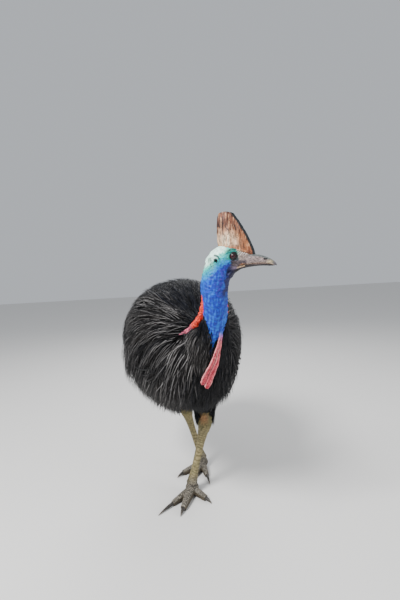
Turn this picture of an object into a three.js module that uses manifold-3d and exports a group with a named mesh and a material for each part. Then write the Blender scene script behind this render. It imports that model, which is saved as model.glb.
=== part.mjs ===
// A southern cassowary, life size, standing with its neck forward and its head turned to its left.
// Millimetres, +Z up, the floor at z = 0. The body faces -Y, and the bird's left is +X.
import * as THREE from "three";
import { mergeVertices } from "three/addons/utils/BufferGeometryUtils.js";
import Module from "manifold-3d";

const wasm = await Module();
wasm.setup();

const degreesOf = THREE.MathUtils.degToRad;

// Driving sizes
const GAP = 0.3;
const SLIVER = 0.03;
const HEAD_ORIGIN = [48, -572, 1018];
const HEAD_YAW = 61;
const EYE_OFFSET = 21;
const EYEBALL_RADIUS = 11.5;
const BILL_ROOT = -34;
const CASQUE_HALF_WIDTH = 24;
const COAT_LIFT = 32;
const COAT_SEED = 20;
const NECK_TOP_CUT = 0.12;
const NECK_BASE_CUT = 0.92;
const TAIL_CUT_Y = 232;
const LOCK_SINK = 14;
const SCUTE_RISE = 1.6;
const LOCK_THICK = 10;
const FLANK_LOCK_WIDTH = 92;
const FREE_ANGLE = degreesOf(112);
const FREE_SHARE = 0.87;
const FRINGE_HEIGHT = 398;

const finish = (color, roughness) => new THREE.MeshStandardMaterial({ color, roughness, metalness: 0 });
const materials = {
  plumage: finish(0x14130f, 0.55),
  paleSkin: finish(0x8fe0d2, 0.6),
  blueSkin: finish(0x1c5fc4, 0.6),
  wattleSkin: finish(0xc4505c, 0.5),
  casqueHorn: finish(0x9c7258, 0.55),
  billHorn: finish(0x5d5552, 0.4),
  eyeball: finish(0x3a1c14, 0.08),
  legScale: finish(0x77714f, 0.65),
  clawHorn: finish(0x2b2926, 0.4),
  quillHorn: finish(0x0d0c0b, 0.3),
};

const mix = (a, b, share) => a + (b - a) * share;
const clamp = (value, low, high) => Math.min(high, Math.max(low, value));
const vector = (values) => new THREE.Vector3(...values);

function between(a, b, share) {
  return a.map((value, i) => mix(value, b[i], share));
}

function smooth(low, high, value) {
  const share = clamp((value - low) / (high - low), 0, 1);
  return share * share * (3 - 2 * share);
}

// A closed solid from any closed three.js geometry, turned right side out.
function solidOf(geometry) {
  const bare = new THREE.BufferGeometry().setAttribute("position", geometry.getAttribute("position"));
  if (geometry.index) bare.setIndex(geometry.index);
  const merged = mergeVertices(bare, 1e-3);
  const corners = [];
  const index = merged.index.array;
  for (let i = 0; i < index.length; i += 3) {
    const [a, b, c] = [index[i], index[i + 1], index[i + 2]];
    if (a !== b && b !== c && a !== c) corners.push(a, b, c);
  }
  const make = () => {
    const vertProperties = merged.attributes.position.array;
    const triVerts = new Uint32Array(corners);
    return new wasm.Manifold(new wasm.Mesh({ numProp: 3, vertProperties, triVerts }));
  };
  const made = make();
  if (made.volume() > 0) return made;
  for (let i = 0; i < corners.length; i += 3) {
    [corners[i + 1], corners[i + 2]] = [corners[i + 2], corners[i + 1]];
  }
  return make();
}

function geometryOf(solid) {
  const mesh = solid.getMesh();
  const positions = new Float32Array(mesh.numVert * 3);
  for (let i = 0; i < mesh.numVert; i++) {
    positions.set(mesh.vertProperties.subarray(i * mesh.numProp, i * mesh.numProp + 3), i * 3);
  }
  return new THREE.BufferGeometry()
    .setAttribute("position", new THREE.BufferAttribute(positions, 3))
    .setIndex(new THREE.BufferAttribute(mesh.triVerts, 1));
}

// A closed skin over rings of equal count. A ring of one point is a pole, and an open end gets a flat fan.
function skinOver(rings) {
  const points = [];
  const index = [];
  const starts = rings.map((ring) => points.push(...ring) - ring.length);
  for (let i = 0; i + 1 < rings.length; i++) {
    const [near, far] = [rings[i].length, rings[i + 1].length];
    const count = Math.max(near, far);
    for (let j = 0; j < count; j++) {
      const k = (j + 1) % count;
      const [a, b] = near > 1 ? [starts[i] + j, starts[i] + k] : [starts[i], starts[i]];
      const [c, d] = far > 1 ? [starts[i + 1] + j, starts[i + 1] + k] : [starts[i + 1], starts[i + 1]];
      if (near > 1) index.push(a, b, d);
      if (far > 1) index.push(a, d, c);
    }
  }
  for (const end of [0, rings.length - 1]) {
    const ring = rings[end];
    if (ring.length === 1) continue;
    const middle = new THREE.Vector3();
    ring.forEach((point) => middle.addScaledVector(point, 1 / ring.length));
    const hub = points.push(middle) - 1;
    ring.forEach((_, j) => {
      const [a, b] = [starts[end] + j, starts[end] + ((j + 1) % ring.length)];
      index.push(...(end === 0 ? [hub, b, a] : [hub, a, b]));
    });
  }
  const positions = new Float32Array(points.flatMap((point) => point.toArray()));
  return new THREE.BufferGeometry()
    .setAttribute("position", new THREE.BufferAttribute(positions, 3))
    .setIndex(index);
}

// A limb or body along a smooth line. Each station has a centre and the sizes aside, up and down.
class Tube {
  constructor(stations, aside = [1, 0, 0]) {
    const curve = (key) => {
      const points = stations.map((station) => vector(station[key]));
      return new THREE.CatmullRomCurve3(points, false, "catmullrom", 0.5);
    };
    this.line = curve("at");
    this.sizes = curve("size");
    this.aside = vector(aside);
  }

  frame(t) {
    const centre = this.line.getPoint(t);
    const along = this.line.getTangent(t);
    const side = this.aside.clone().addScaledVector(along, -this.aside.dot(along)).normalize();
    const up = new THREE.Vector3().crossVectors(side, along);
    return { centre, along, side, up, size: this.sizes.getPoint(t) };
  }

  // The skin point at an angle from the top, turning over the side, with all sizes grown.
  point(t, angle, grow = 0) {
    const { centre, side, up, size } = this.frame(t);
    const tall = Math.cos(angle) > 0 ? size.y : size.z;
    return centre
      .clone()
      .addScaledVector(side, Math.sin(angle) * Math.max(0.4, size.x + grow))
      .addScaledVector(up, Math.cos(angle) * Math.max(0.4, tall + grow));
  }

  // Whether a point lies within a margin of the skin.
  holds(point, margin, from = 0) {
    for (let i = 0; i <= 16; i++) {
      const { centre, size } = this.frame(mix(from, 1, i / 16));
      if (centre.distanceTo(point) < (size.x + size.y + size.z) / 3 + margin) return true;
    }
    return false;
  }

  // A solid between two shares of the line, with a growth that may vary over the skin.
  solid({ from = 0, to = 1, rings = 12, sides = 12, grow = 0, relief = null }) {
    const made = [];
    for (let i = 0; i <= rings; i++) {
      const t = mix(from, to, i / rings);
      const ring = [];
      for (let j = 0; j < sides; j++) {
        const angle = (2 * Math.PI * j) / sides;
        ring.push(this.point(t, angle, grow + (relief ? relief(t, angle) : 0)));
      }
      made.push(ring);
    }
    return solidOf(skinOver(made));
  }
}

function ball(centre, radii, columns = 14, rows = 10) {
  const geometry = new THREE.SphereGeometry(1, columns, rows).scale(...radii).translate(...centre);
  return solidOf(geometry);
}

// Half of space, as a large block whose near face lies at a point.
function beyond(point, direction, size = 4000) {
  const away = vector(direction).normalize();
  const turn = new THREE.Quaternion().setFromUnitVectors(new THREE.Vector3(0, 0, 1), away);
  const geometry = new THREE.BoxGeometry(size, size, size)
    .translate(0, 0, size / 2)
    .applyQuaternion(turn)
    .translate(...point);
  return solidOf(geometry);
}

// The two sides of a cut across a tube, each reaching half a gap over it.
function cutAcross(tube, t) {
  const { centre, along } = tube.frame(t);
  const ahead = centre.clone().addScaledVector(along, -GAP / 2);
  const behind = centre.clone().addScaledVector(along, GAP / 2);
  return {
    after: beyond(ahead.toArray(), along.toArray()),
    before: beyond(behind.toArray(), along.clone().negate().toArray()),
  };
}

// A repeatable draw between -1 and 1.
function makeDraw(seed) {
  let state = seed;
  return () => {
    state = (state * 1664525 + 1013904223) % 4294967296;
    return (state / 4294967296) * 2 - 1;
  };
}

// The run of one lock of the coat. It leaves the skin at its root, follows the body backwards and
// downwards, and falls free of it under the flank and behind the rump.
function lockRun(tube, { t, angle, length, lift, sag, push = 0 }) {
  const steps = 4;
  const step = length / steps;
  const run = [];
  let [u, a] = [t, angle];
  let last = null;
  let heading = new THREE.Vector3(0, 0.8, -0.6);
  for (let i = 0; i < steps + 1; i++) {
    const s = i / steps;
    const follows = Math.abs(a) < FREE_ANGLE && u < FREE_SHARE;
    const [uIn, aIn] = [clamp(u, 0.011, 0.985), a];
    const metre = tube.point(uIn + 0.01, aIn).sub(tube.point(uIn - 0.01, aIn)).multiplyScalar(50);
    const round = tube.point(uIn, aIn + 0.02).sub(tube.point(uIn, aIn - 0.02)).multiplyScalar(25);
    const out = new THREE.Vector3().crossVectors(round, metre).normalize();
    const skin = tube.point(u, a);
    if (out.dot(skin.clone().sub(tube.line.getPoint(uIn))) < 0) out.negate();
    const height = mix(-LOCK_SINK, lift, Math.sin(Math.min(1, s * 1.3) * 1.75)) + push * s;
    const fall = new THREE.Vector3(0, 0, -1);
    const back = metre.clone().normalize();
    let at = skin.clone().addScaledVector(out, height);
    if (last && !follows) {
      const free = back.clone().multiplyScalar(0.55).addScaledVector(fall, 1).normalize();
      at = last.clone().addScaledVector(free.lerp(heading, 0.5).normalize(), step);
    }
    run.push({ at, out });
    if (last) heading = at.clone().sub(last).normalize();
    last = at;
    const down = fall.addScaledVector(out, out.z).multiplyScalar(sag * (0.35 + 0.65 * s));
    const dir = back.add(down).normalize();
    u = Math.min(1, u + (dir.dot(metre) * step) / metre.lengthSq());
    a += (dir.dot(round) * step) / round.lengthSq();
  }
  return run;
}

// A lock is flat under and ridged over, broad near its middle and drawn to a point.
function lockSolid(run, width, thick, grow = 0) {
  const rings = run.map(({ at, out }, i) => {
    const s = i / (run.length - 1);
    const ahead = run[Math.min(run.length - 1, i + 1)].at.clone().sub(run[Math.max(0, i - 1)].at);
    ahead.normalize();
    if (s === 1) return [at.clone().addScaledVector(ahead, grow)];
    const side = new THREE.Vector3().crossVectors(ahead, out).normalize();
    const over = new THREE.Vector3().crossVectors(side, ahead).normalize();
    const broad = s < 0.4 ? mix(0.7, 1, s / 0.4) : mix(1, 0.3, (s - 0.4) / 0.4);
    const tall = thick * mix(1, 0.6, s);
    const half = (width / 2) * broad * (1 + (2 * grow) / tall) + 2 * grow;
    return [
      at.clone().addScaledVector(side, half).addScaledVector(over, -tall / 2 - grow),
      at.clone().addScaledVector(over, tall / 2 + grow),
      at.clone().addScaledVector(side, -half).addScaledVector(over, -tall / 2 - grow),
    ];
  });
  return solidOf(skinOver(rings));
}

// Rows of locks round a tube, each row set back from the last by about half a lock.
function coatRuns(tube, rows, draw, obstacles = []) {
  const runs = [];
  rows.forEach(({ t, count, length, lift = COAT_LIFT, sag, broad = 1.3, lowest = FRINGE_HEIGHT }, row) => {
    const girth = tube.point(t, Math.PI / 2).distanceTo(tube.line.getPoint(t)) * 2 * Math.PI;
    for (let i = 0; i < count; i++) {
      const place = (i + (row % 2 ? 0.5 : 0) + 0.16 * draw()) / count;
      const angle = Math.PI * (2 * (((place % 1) + 1) % 1) - 1);
      const plan = {
        t: clamp(t + 0.008 * draw(), 0.005, 0.99),
        angle,
        length: length * (1 + 0.14 * draw()),
        lift: lift * (1 + 0.12 * draw()),
        sag: sag ?? mix(0.35, 1.5, smooth(0.1, 0.75, Math.abs(angle) / Math.PI)),
      };
      let run = lockRun(tube, plan);
      while (run[run.length - 1].at.z < lowest && plan.length > 70) {
        plan.length -= 12;
        run = lockRun(tube, plan);
      }
      const meets = (leg) => run.slice(2).some(({ at }) => leg.holds(at, 12, 0.3));
      for (plan.push = 18; plan.push < 80 && obstacles.some(meets); plan.push += 18) {
        run = lockRun(tube, plan);
      }
      const width = (girth / count) * broad * (1 + 0.1 * draw());
      if (!obstacles.some(meets)) runs.push({ run, width });
    }
  });
  return runs;
}

// Locks that hang before the left thigh, each given by its outward side and the points of its run.
function flankRuns(plans) {
  return plans.map(({ out, line }) => {
    const outward = new THREE.Vector3(...out).normalize();
    return { run: line.map((at) => ({ at: new THREE.Vector3(...at), out: outward })), width: FLANK_LOCK_WIDTH };
  });
}

const union = (solids) => wasm.Manifold.union(solids);
const group = new THREE.Group();

// A node keeps the largest closed surface of its solid.
function addNode(name, solid, material) {
  const whole = solid.simplify(SLIVER).decompose().sort((a, b) => b.volume() - a.volume())[0];
  const mesh = new THREE.Mesh(geometryOf(whole), material);
  mesh.name = name;
  group.add(mesh);
}

// Body and neck lines
const torsoTube = new Tube([
  { at: [1, -404, 760], size: [70, 58, 68] },
  { at: [0, -345, 738], size: [106, 88, 122] },
  { at: [-6, -250, 712], size: [156, 148, 192] },
  { at: [-12, -100, 700], size: [202, 202, 224] },
  { at: [-16, 60, 694], size: [214, 216, 214] },
  { at: [-16, 210, 668], size: [192, 194, 184] },
  { at: [-14, 320, 630], size: [142, 142, 138] },
  { at: [-12, 392, 594], size: [76, 78, 84] },
  { at: [-12, 416, 578], size: [8, 8, 8] },
]);

const neckTube = new Tube([
  { at: [6, -549, 1004], size: [35, 36, 36] },
  { at: [-2, -544, 962], size: [41, 42, 42] },
  { at: [-7, -538, 926], size: [41, 42, 42] },
  { at: [-4, -530, 890], size: [40, 42, 42] },
  { at: [0, -512, 846], size: [42, 44, 46] },
  { at: [0, -480, 804], size: [48, 48, 58] },
  { at: [0, -434, 774], size: [60, 54, 66] },
  { at: [0, -388, 754], size: [76, 62, 72] },
]);

// Head, in its own frame: the bill along -Y, the left side +X, the origin between the eyes
const headPlace = new THREE.Matrix4()
  .makeTranslation(...HEAD_ORIGIN)
  .multiply(new THREE.Matrix4().makeRotationZ(degreesOf(HEAD_YAW)));
const ontoHead = (solid) => solid.transform(headPlace.elements);

const skullTube = new Tube(
  [
    { at: [0, 87, -34], size: [5, 5, 5] },
    { at: [0, 76, -31], size: [22, 24, 30] },
    { at: [0, 62, -22], size: [31, 31, 42] },
    { at: [0, 48, -14], size: [36, 38, 46] },
    { at: [0, 33, -10], size: [37, 44, 40] },
    { at: [0, 15, -8], size: [34, 41, 38] },
    { at: [0, 0, -8], size: [31, 38, 36] },
    { at: [0, -17, -11], size: [24.5, 28, 28] },
    { at: [0, -38, -14.5], size: [16.5, 20.5, 18.5] },
  ],
  [-1, 0, 0],
);

const upperBillTube = new Tube(
  [
    { at: [0, BILL_ROOT + 4, -14], size: [17.5, 22, 17] },
    { at: [0, BILL_ROOT - 6, -14], size: [16.5, 20, 15] },
    { at: [0, -62, -13.5], size: [13, 17, 12] },
    { at: [0, -83, -16], size: [10, 14, 9.5] },
    { at: [0, -102, -20], size: [7, 8.5, 8] },
    { at: [0, -114, -25.5], size: [4.2, 4.6, 5] },
    { at: [0, -120.5, -31], size: [0.8, 1, 1] },
  ],
  [-1, 0, 0],
);

const lowerBillTube = new Tube(
  [
    { at: [0, BILL_ROOT + 4, -26.8], size: [14, 1, 7] },
    { at: [0, -60, -24], size: [10.5, 0.8, 6.6] },
    { at: [0, -84, -24.2], size: [8, 0.8, 6] },
    { at: [0, -104, -27.5], size: [5, 0.6, 4] },
    { at: [0, -114, -30], size: [1.5, 0.4, 1] },
  ],
  [-1, 0, 0],
);

// The space over the line on which the casque sits on the skull.
function aboveCasqueSeat(grow) {
  const seat = [[-90, -6], [-42, 3], [-12, 14], [60, 25], [60, 200], [-90, 200]];
  const shape = new THREE.Shape(seat.map(([y, z]) => new THREE.Vector2(y, z - grow)));
  const geometry = new THREE.ExtrudeGeometry(shape, { depth: 100, bevelEnabled: false });
  const turn = new THREE.Matrix4().set(0, 0, 1, -50, 1, 0, 0, 0, 0, 1, 0, 0, 0, 0, 0, 1);
  return solidOf(geometry.applyMatrix4(turn));
}

// The helmet on the crown: a tall keel, thick at its foot, with a steep rear and a long front slope.
function casqueSolid(grow = 0) {
  const outline = (pairs) => new THREE.CatmullRomCurve3(pairs.map(([y, z]) => new THREE.Vector3(0, y, z)));
  const front = outline([[-64, -8], [-61, 4], [-55, 23], [-42, 52], [-25, 84], [-6, 113], [4, 126], [15, 131]]);
  const rear = outline([[42, -8], [46, 20], [48, 35], [49.5, 62], [50, 85], [47, 108], [40, 125], [27, 131]]);
  const levels = 9;
  const sides = 16;
  const rings = [];
  for (let i = 0; i <= levels; i++) {
    const s = i / levels;
    const [a, b] = [front.getPoint(s), rear.getPoint(s)];
    const half = CASQUE_HALF_WIDTH * mix(1, 0.3, s ** 0.9) * (1 - 0.5 * smooth(0.9, 1, s)) + grow;
    const ring = [];
    for (let j = 0; j < sides; j++) {
      const angle = (2 * Math.PI * j) / sides;
      const along = (1 - Math.cos(angle)) / 2;
      const fullness = mix(0.62, 1, smooth(0, 0.45, along));
      const point = a.clone().lerp(b, along);
      point.y += grow * (along * 2 - 1);
      point.x = half * Math.sin(angle) * fullness;
      ring.push(point);
    }
    rings.push(ring);
  }
  return solidOf(skinOver(rings)).intersect(aboveCasqueSeat(grow));
}

function buildHead() {
  const casqueOut = casqueSolid(GAP);
  const lowerOut = lowerBillTube.solid({ rings: 6, sides: 10, grow: GAP });
  const neckCut = cutAcross(neckTube, NECK_TOP_CUT);
  const neckTop = neckTube.solid({ to: 0.24, rings: 4, sides: 18 });
  const parts = [skullTube.solid({ rings: 11, sides: 16 })];
  const cuts = [casqueOut, beyond([0, BILL_ROOT + GAP, 0], [0, -1, 0])];
  for (const side of [-1, 1]) {
    const lid = new THREE.TorusGeometry(8.6, 2.4, 4, 10).rotateY(degreesOf(90)).translate(side * 29.4, 0, 0);
    const earRim = new THREE.TorusGeometry(7, 2, 4, 8).rotateY(degreesOf(90)).translate(side * 36, 50, -9);
    parts.push(solidOf(lid), solidOf(earRim));
    cuts.push(ball([side * 38, 50, -9], [7, 4.5, 4.5], 8, 6));
    cuts.push(ball([side * EYE_OFFSET, 0, 0], Array(3).fill(EYEBALL_RADIUS + GAP), 12, 8));
  }
  const mouth = new THREE.BoxGeometry(70, 26, 0.9).rotateX(degreesOf(-12)).translate(0, -23, -28.5);
  cuts.push(solidOf(mouth));
  const skull = union(parts).subtract(union(cuts));
  addNode("head", union([ontoHead(skull), neckTop]).subtract(neckCut.after), materials.paleSkin);
  addNode("casque", ontoHead(casqueSolid()), materials.casqueHorn);
  const behindBill = beyond([0, BILL_ROOT, 0], [0, 1, 0]);
  const upper = upperBillTube.solid({ rings: 7, sides: 10 }).subtract(union([lowerOut, casqueOut, behindBill]));
  const nostrils = [-1, 1].map((side) => ball([side * 9.5, -90, -12], [2.2, 6, 2.4], 8, 6));
  addNode("bill_upper", ontoHead(upper.subtract(union(nostrils))), materials.billHorn);
  addNode("bill_lower", ontoHead(lowerBillTube.solid({ rings: 6, sides: 10 }).subtract(behindBill)), materials.billHorn);
  for (const [name, side] of [["left", 1], ["right", -1]]) {
    const eye = ball([side * EYE_OFFSET, 0, 0], Array(3).fill(EYEBALL_RADIUS), 12, 8);
    addNode("eye_" + name, ontoHead(eye), materials.eyeball);
  }
}

function buildNeck() {
  const topCut = cutAcross(neckTube, NECK_TOP_CUT);
  const baseCut = cutAcross(neckTube, NECK_BASE_CUT);
  const neck = neckTube.solid({ rings: 16, sides: 18 });
  addNode("neck", neck.subtract(topCut.before).subtract(baseCut.after), materials.blueSkin);
}

// Legs: hip, hock and foot joint
const legs = {
  left: { hip: [86, -20, 560], hock: [56, -97, 322], joint: [-8, -73, 48] },
  right: { hip: [-104, 30, 560], hock: [10, 84, 322], joint: [88, 122, 48] },
};

// Toes: heading from -Y towards +X in degrees, the toe's length, the claw's length and the sizes.
const toes = {
  left: {
    inner: { heading: -57, length: 116, claw: 82, root: 17, tip: 10 },
    middle: { heading: -30, length: 124, claw: 38, root: 20, tip: 12 },
    outer: { heading: 30, length: 84, claw: 34, root: 17, tip: 11 },
  },
  right: {
    inner: { heading: -2, length: 100, claw: 62, root: 17, tip: 10 },
    middle: { heading: -36, length: 124, claw: 38, root: 20, tip: 12 },
    outer: { heading: -66, length: 116, claw: 36, root: 17, tip: 11 },
  },
};

function thighTube({ hip, hock }) {
  return new Tube([
    { at: hip, size: [66, 84, 88] },
    { at: between(hip, hock, 0.45), size: [54, 68, 72] },
    { at: between(hip, hock, 0.8), size: [38, 46, 44] },
    { at: hock, size: [30, 34, 32] },
  ]);
}

function shankTube({ hip, hock, joint }) {
  return new Tube([
    { at: between(hock, hip, 0.16), size: [27, 30, 29] },
    { at: hock, size: [30, 33, 30] },
    { at: between(hock, joint, 0.16), size: [21, 25, 23] },
    { at: between(hock, joint, 0.4), size: [15.5, 19, 18] },
    { at: between(hock, joint, 0.75), size: [15.5, 19, 18] },
    { at: between(hock, joint, 0.93), size: [21, 21, 21] },
    { at: joint, size: [25, 23, 23] },
  ]);
}

// Broad scutes across the front of the shank and the top of each toe, every second ring raised.
function scutes(rings, facing) {
  return (t, angle) => SCUTE_RISE * (Math.round(t * rings) % 2) * Math.max(0, Math.cos(angle - facing));
}

function buildLeg(name) {
  const leg = legs[name];
  const thigh = thighTube(leg);
  const shank = shankTube(leg);
  const ankle = cutAcross(shank, 0.07);
  const sole = cutAcross(shank, 0.9);
  const under = beyond([0, 0, 0], [0, 0, -1]);
  const locks = coatRuns(thigh, thighRows, makeDraw(COAT_SEED + 7));
  const tufts = locks.map(({ run, width }) => lockSolid(run, width, LOCK_THICK * 0.7));
  const feathered = union([thigh.solid({ rings: 5, sides: 12 }), ...tufts]).subtract(bodyRoom).subtract(ankle.after);
  addNode("thigh_" + name, feathered, materials.plumage);
  const bare = shank.solid({ rings: 16, sides: 8, relief: scutes(16, Math.PI) });
  addNode("shank_" + name, bare.subtract(ankle.before).subtract(sole.after), materials.legScale);
  const [x, y] = leg.joint;
  const parts = [bare.intersect(sole.after), ball([x, y, 26], [29, 29, 27], 10, 6)];
  for (const [toe, plan] of Object.entries(toes[name])) {
    const turn = degreesOf(plan.heading);
    const dir = [Math.sin(turn), -Math.cos(turn)];
    const at = (reach, z) => [x + dir[0] * reach, y + dir[1] * reach, z];
    const aside = [dir[1], -dir[0], 0];
    const { length, claw, root, tip } = plan;
    const middle = (root + tip) / 2;
    const toeTube = new Tube(
      [
        { at: at(0, root + 4), size: [root, root, root + 4] },
        { at: at(length * 0.35, root - 1), size: [root * 0.92, root, root] },
        { at: at(length * 0.7, middle), size: [middle, middle, middle + 1] },
        { at: at(length + 2, tip + 1), size: [tip, tip + 1, tip + 2] },
      ],
      aside,
    );
    const pastToe = beyond(at(length, 0), [dir[0], dir[1], 0]);
    parts.push(toeTube.solid({ rings: 6, sides: 8, relief: scutes(6, 0) }).subtract(pastToe));
    const clawTube = new Tube(
      [
        { at: at(length - 3, tip + 2), size: [tip * 0.72, tip * 0.8, tip * 0.8] },
        { at: at(length + claw * 0.35, tip + 1), size: [tip * 0.55, tip * 0.62, tip * 0.62] },
        { at: at(length + claw * 0.75, tip * 0.7), size: [tip * 0.3, tip * 0.36, tip * 0.36] },
        { at: at(length + claw, 2.4), size: [0.9, 1, 1] },
      ],
      aside,
    );
    const clawSolid = clawTube.solid({ rings: 5, sides: 6 }).subtract(under);
    const toeEnd = beyond(at(length + GAP, 0), [-dir[0], -dir[1], 0]);
    addNode(`claw_${name}_${toe}`, clawSolid.subtract(toeEnd), materials.clawHorn);
  }
  addNode("foot_" + name, union(parts).subtract(under).subtract(sole.before), materials.legScale);
}


// Wattles: two flat, grooved lappets with rolled rims, from the throat's left side down before the chest.
const wattlePlans = {
  right: {
    line: [[31, -516, 826], [27, -534, 800], [14, -532, 765], [-6, -524, 722], [-28, -513, 678], [-46, -504, 644], [-53, -501, 629]],
    half: [2, 4, 5, 6.5, 8, 9.5, 4],
  },
  left: {
    line: [[38, -512, 812], [37, -527, 786], [30, -530, 755], [17, -523, 714], [-2, -514, 670], [-22, -506, 632], [-31, -503, 614]],
    half: [2, 4, 5.5, 8, 11, 12.5, 5],
  },
};

function buildWattle(name) {
  const { line, half } = wattlePlans[name];
  const stations = line.map((at, i) => ({ at, size: [half[i], 3.4, 3.4] }));
  const rim = (t, angle) => 1.1 * Math.abs(Math.sin(angle)) - 1.9 * Math.abs(Math.cos(angle)) ** 6;
  const wattle = new Tube(stations).solid({ rings: 12, sides: 12, relief: rim });
  const neckOut = neckTube.solid({ rings: 16, sides: 18, grow: GAP });
  addNode("wattle_" + name, wattle.subtract(neckOut), materials.wattleSkin);
}

// Wings: a small stub under the shoulder's coat, and bare quills that come out and bend down and back.
// Each quill ends at a share of the body's line, an angle from the back and a height over the skin.
const quillEnds = [
  { t: 0.318, angle: 147, height: 84 },
  { t: 0.345, angle: 137, height: 64 },
  { t: 0.37, angle: 128, height: 52 },
  { t: 0.392, angle: 119, height: 46 },
  { t: 0.408, angle: 110, height: 44 },
];

function buildWing(side) {
  const at = (t, angle, height) => torsoTube.point(t, side * degreesOf(angle), height).toArray();
  const stub = new Tube(
    [
      { at: at(0.17, 112, 3), size: [6, 10, 10] },
      { at: at(0.195, 116, 8), size: [11, 19, 19] },
      { at: at(0.225, 118, 10), size: [10, 17, 17] },
      { at: at(0.25, 119, 12), size: [5, 8, 8] },
    ],
    [side, 0, 0],
  ).solid({ rings: 5, sides: 8 });
  const quills = quillEnds.map(({ t, angle, height }, i) => {
    const startAngle = 124 - 3 * i;
    const stations = [
      { at: at(0.222, startAngle, 10), size: [3, 3, 3] },
      { at: at(mix(0.222, t, 0.32), mix(startAngle, angle, 0.3), 40), size: [2.7, 2.7, 2.7] },
      { at: at(mix(0.222, t, 0.68), mix(startAngle, angle, 0.66), mix(40, height, 0.45)), size: [2.1, 2.1, 2.1] },
      { at: at(t, angle, height), size: [0.9, 0.9, 0.9] },
    ];
    return new Tube(stations).solid({ rings: 4, sides: 4 });
  });
  return union([stub, ...quills]);
}

const flankLocks = [
  { out: [0.45, -1, -0.2], line: [[98, -226, 590], [118, -248, 540], [122, -236, 484], [112, -206, 434], [96, -176, 402]] },
  { out: [1, -0.5, 0], line: [[142, -215, 640], [170, -196, 585], [172, -176, 520], [164, -156, 455], [150, -142, 406]] },
  { out: [1, -0.15, 0], line: [[170, -158, 640], [196, -142, 585], [196, -122, 520], [184, -102, 455], [168, -86, 402]] },
  { out: [1, -0.1, 0], line: [[182, -98, 640], [206, -80, 585], [205, -58, 520], [195, -38, 455], [180, -24, 408]] },
];

// Rows of the body's coat, from the neck's foot to the rump
const torsoRows = [
  { t: 0.02, count: 7, length: 130, lift: 22, broad: 1.35 },
  { t: 0.13, count: 9, length: 165, lift: 30 },
  { t: 0.22, count: 11, length: 195 },
  { t: 0.31, count: 11, length: 210 },
  { t: 0.39, count: 12, length: 220 },
  { t: 0.47, count: 12, length: 225 },
  { t: 0.55, count: 12, length: 225 },
  { t: 0.62, count: 12, length: 225 },
];

const tailRows = [
  { t: 0.7, count: 10, length: 215, broad: 1.2 },
  { t: 0.78, count: 9, length: 205, broad: 1.2 },
  { t: 0.86, count: 6, length: 190, broad: 1.1 },
];

const thighRows = [
  { t: 0.4, count: 4, length: 105, lift: 10, sag: 0, lowest: 352 },
  { t: 0.58, count: 4, length: 90, lift: 9, sag: 0, lowest: 344 },
];

function buildBody() {
  const neckRoom = neckTube
    .solid({ rings: 16, sides: 18, grow: GAP })
    .intersect(cutAcross(neckTube, NECK_BASE_CUT).before);
  const obstacles = Object.values(legs).flatMap((leg) => [thighTube(leg), shankTube(leg)]);
  const core = torsoTube.solid({ rings: 16, sides: 22 });
  const rear = beyond([0, TAIL_CUT_Y, 0], [0, 1, 0]);
  const front = beyond([0, TAIL_CUT_Y + GAP, 0], [0, -1, 0]);
  const wings = { left: buildWing(1), right: buildWing(-1) };
  const torsoRuns = [...coatRuns(torsoTube, torsoRows, makeDraw(COAT_SEED), obstacles), ...flankRuns(flankLocks)];
  const tailRuns = coatRuns(torsoTube, tailRows, makeDraw(COAT_SEED + 7), obstacles);
  const solids = (runs, grow) => runs.map(({ run, width }) => lockSolid(run, width, LOCK_THICK, grow));
  const neckFoot = neckTube.solid({ from: 0.84, rings: 4, sides: 18 });
  const torso = union([core.subtract(rear), neckFoot, ...solids(torsoRuns, 0)]).subtract(neckRoom);
  const torsoOut = union(solids(torsoRuns, GAP));
  const tail = union([core.subtract(front), ...solids(tailRuns, 0)]).subtract(torsoOut).subtract(front);
  const body = union([torsoTube.solid({ rings: 16, sides: 22, grow: GAP }), torsoOut]);
  for (const [name, wing] of Object.entries(wings)) {
    addNode("wing_" + name, wing.subtract(body), materials.quillHorn);
  }
  addNode("torso", torso, materials.plumage);
  addNode("tail", tail, materials.plumage);
  return body;
}

buildHead();
buildNeck();
buildWattle("left");
buildWattle("right");
const bodyRoom = buildBody();
buildLeg("left");
buildLeg("right");

// The origin goes to the middle of the underside of the whole.
const extent = new THREE.Box3().setFromObject(group);
const middle = extent.getCenter(new THREE.Vector3());
group.children.forEach((node) => node.geometry.translate(-middle.x, -middle.y, -extent.min.z));

export default group;
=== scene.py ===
"""A southern cassowary, life size, dressed for its picture over the fixed frame.

The bird is laid out in its own coordinates: millimetres, the floor at zero, the body facing -Y and the
bird's left side at +X. Its points are moved into the frame, in metres, as they are put into a mesh.
Every shape is worked out with numpy as whole arrays, from the sizes at the head of its class.
"""

import logging
from dataclasses import dataclass, field
from enum import Enum

import bpy
import numpy as np
from mathutils import Matrix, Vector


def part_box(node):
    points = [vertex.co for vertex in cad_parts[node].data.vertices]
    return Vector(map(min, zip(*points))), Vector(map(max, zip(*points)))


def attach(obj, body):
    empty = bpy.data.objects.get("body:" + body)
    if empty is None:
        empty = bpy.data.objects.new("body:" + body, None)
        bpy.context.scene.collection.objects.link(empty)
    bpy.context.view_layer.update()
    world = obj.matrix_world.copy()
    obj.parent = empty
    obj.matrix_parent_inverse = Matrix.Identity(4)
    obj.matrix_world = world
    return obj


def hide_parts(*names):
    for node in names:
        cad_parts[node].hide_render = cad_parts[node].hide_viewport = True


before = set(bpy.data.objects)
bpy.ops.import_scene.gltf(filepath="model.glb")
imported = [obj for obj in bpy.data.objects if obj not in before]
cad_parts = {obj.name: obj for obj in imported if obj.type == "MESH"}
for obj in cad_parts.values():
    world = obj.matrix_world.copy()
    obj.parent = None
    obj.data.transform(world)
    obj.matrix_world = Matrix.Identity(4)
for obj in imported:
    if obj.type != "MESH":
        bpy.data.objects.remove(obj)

log = logging.getLogger("cassowary")
Array = np.ndarray
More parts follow.
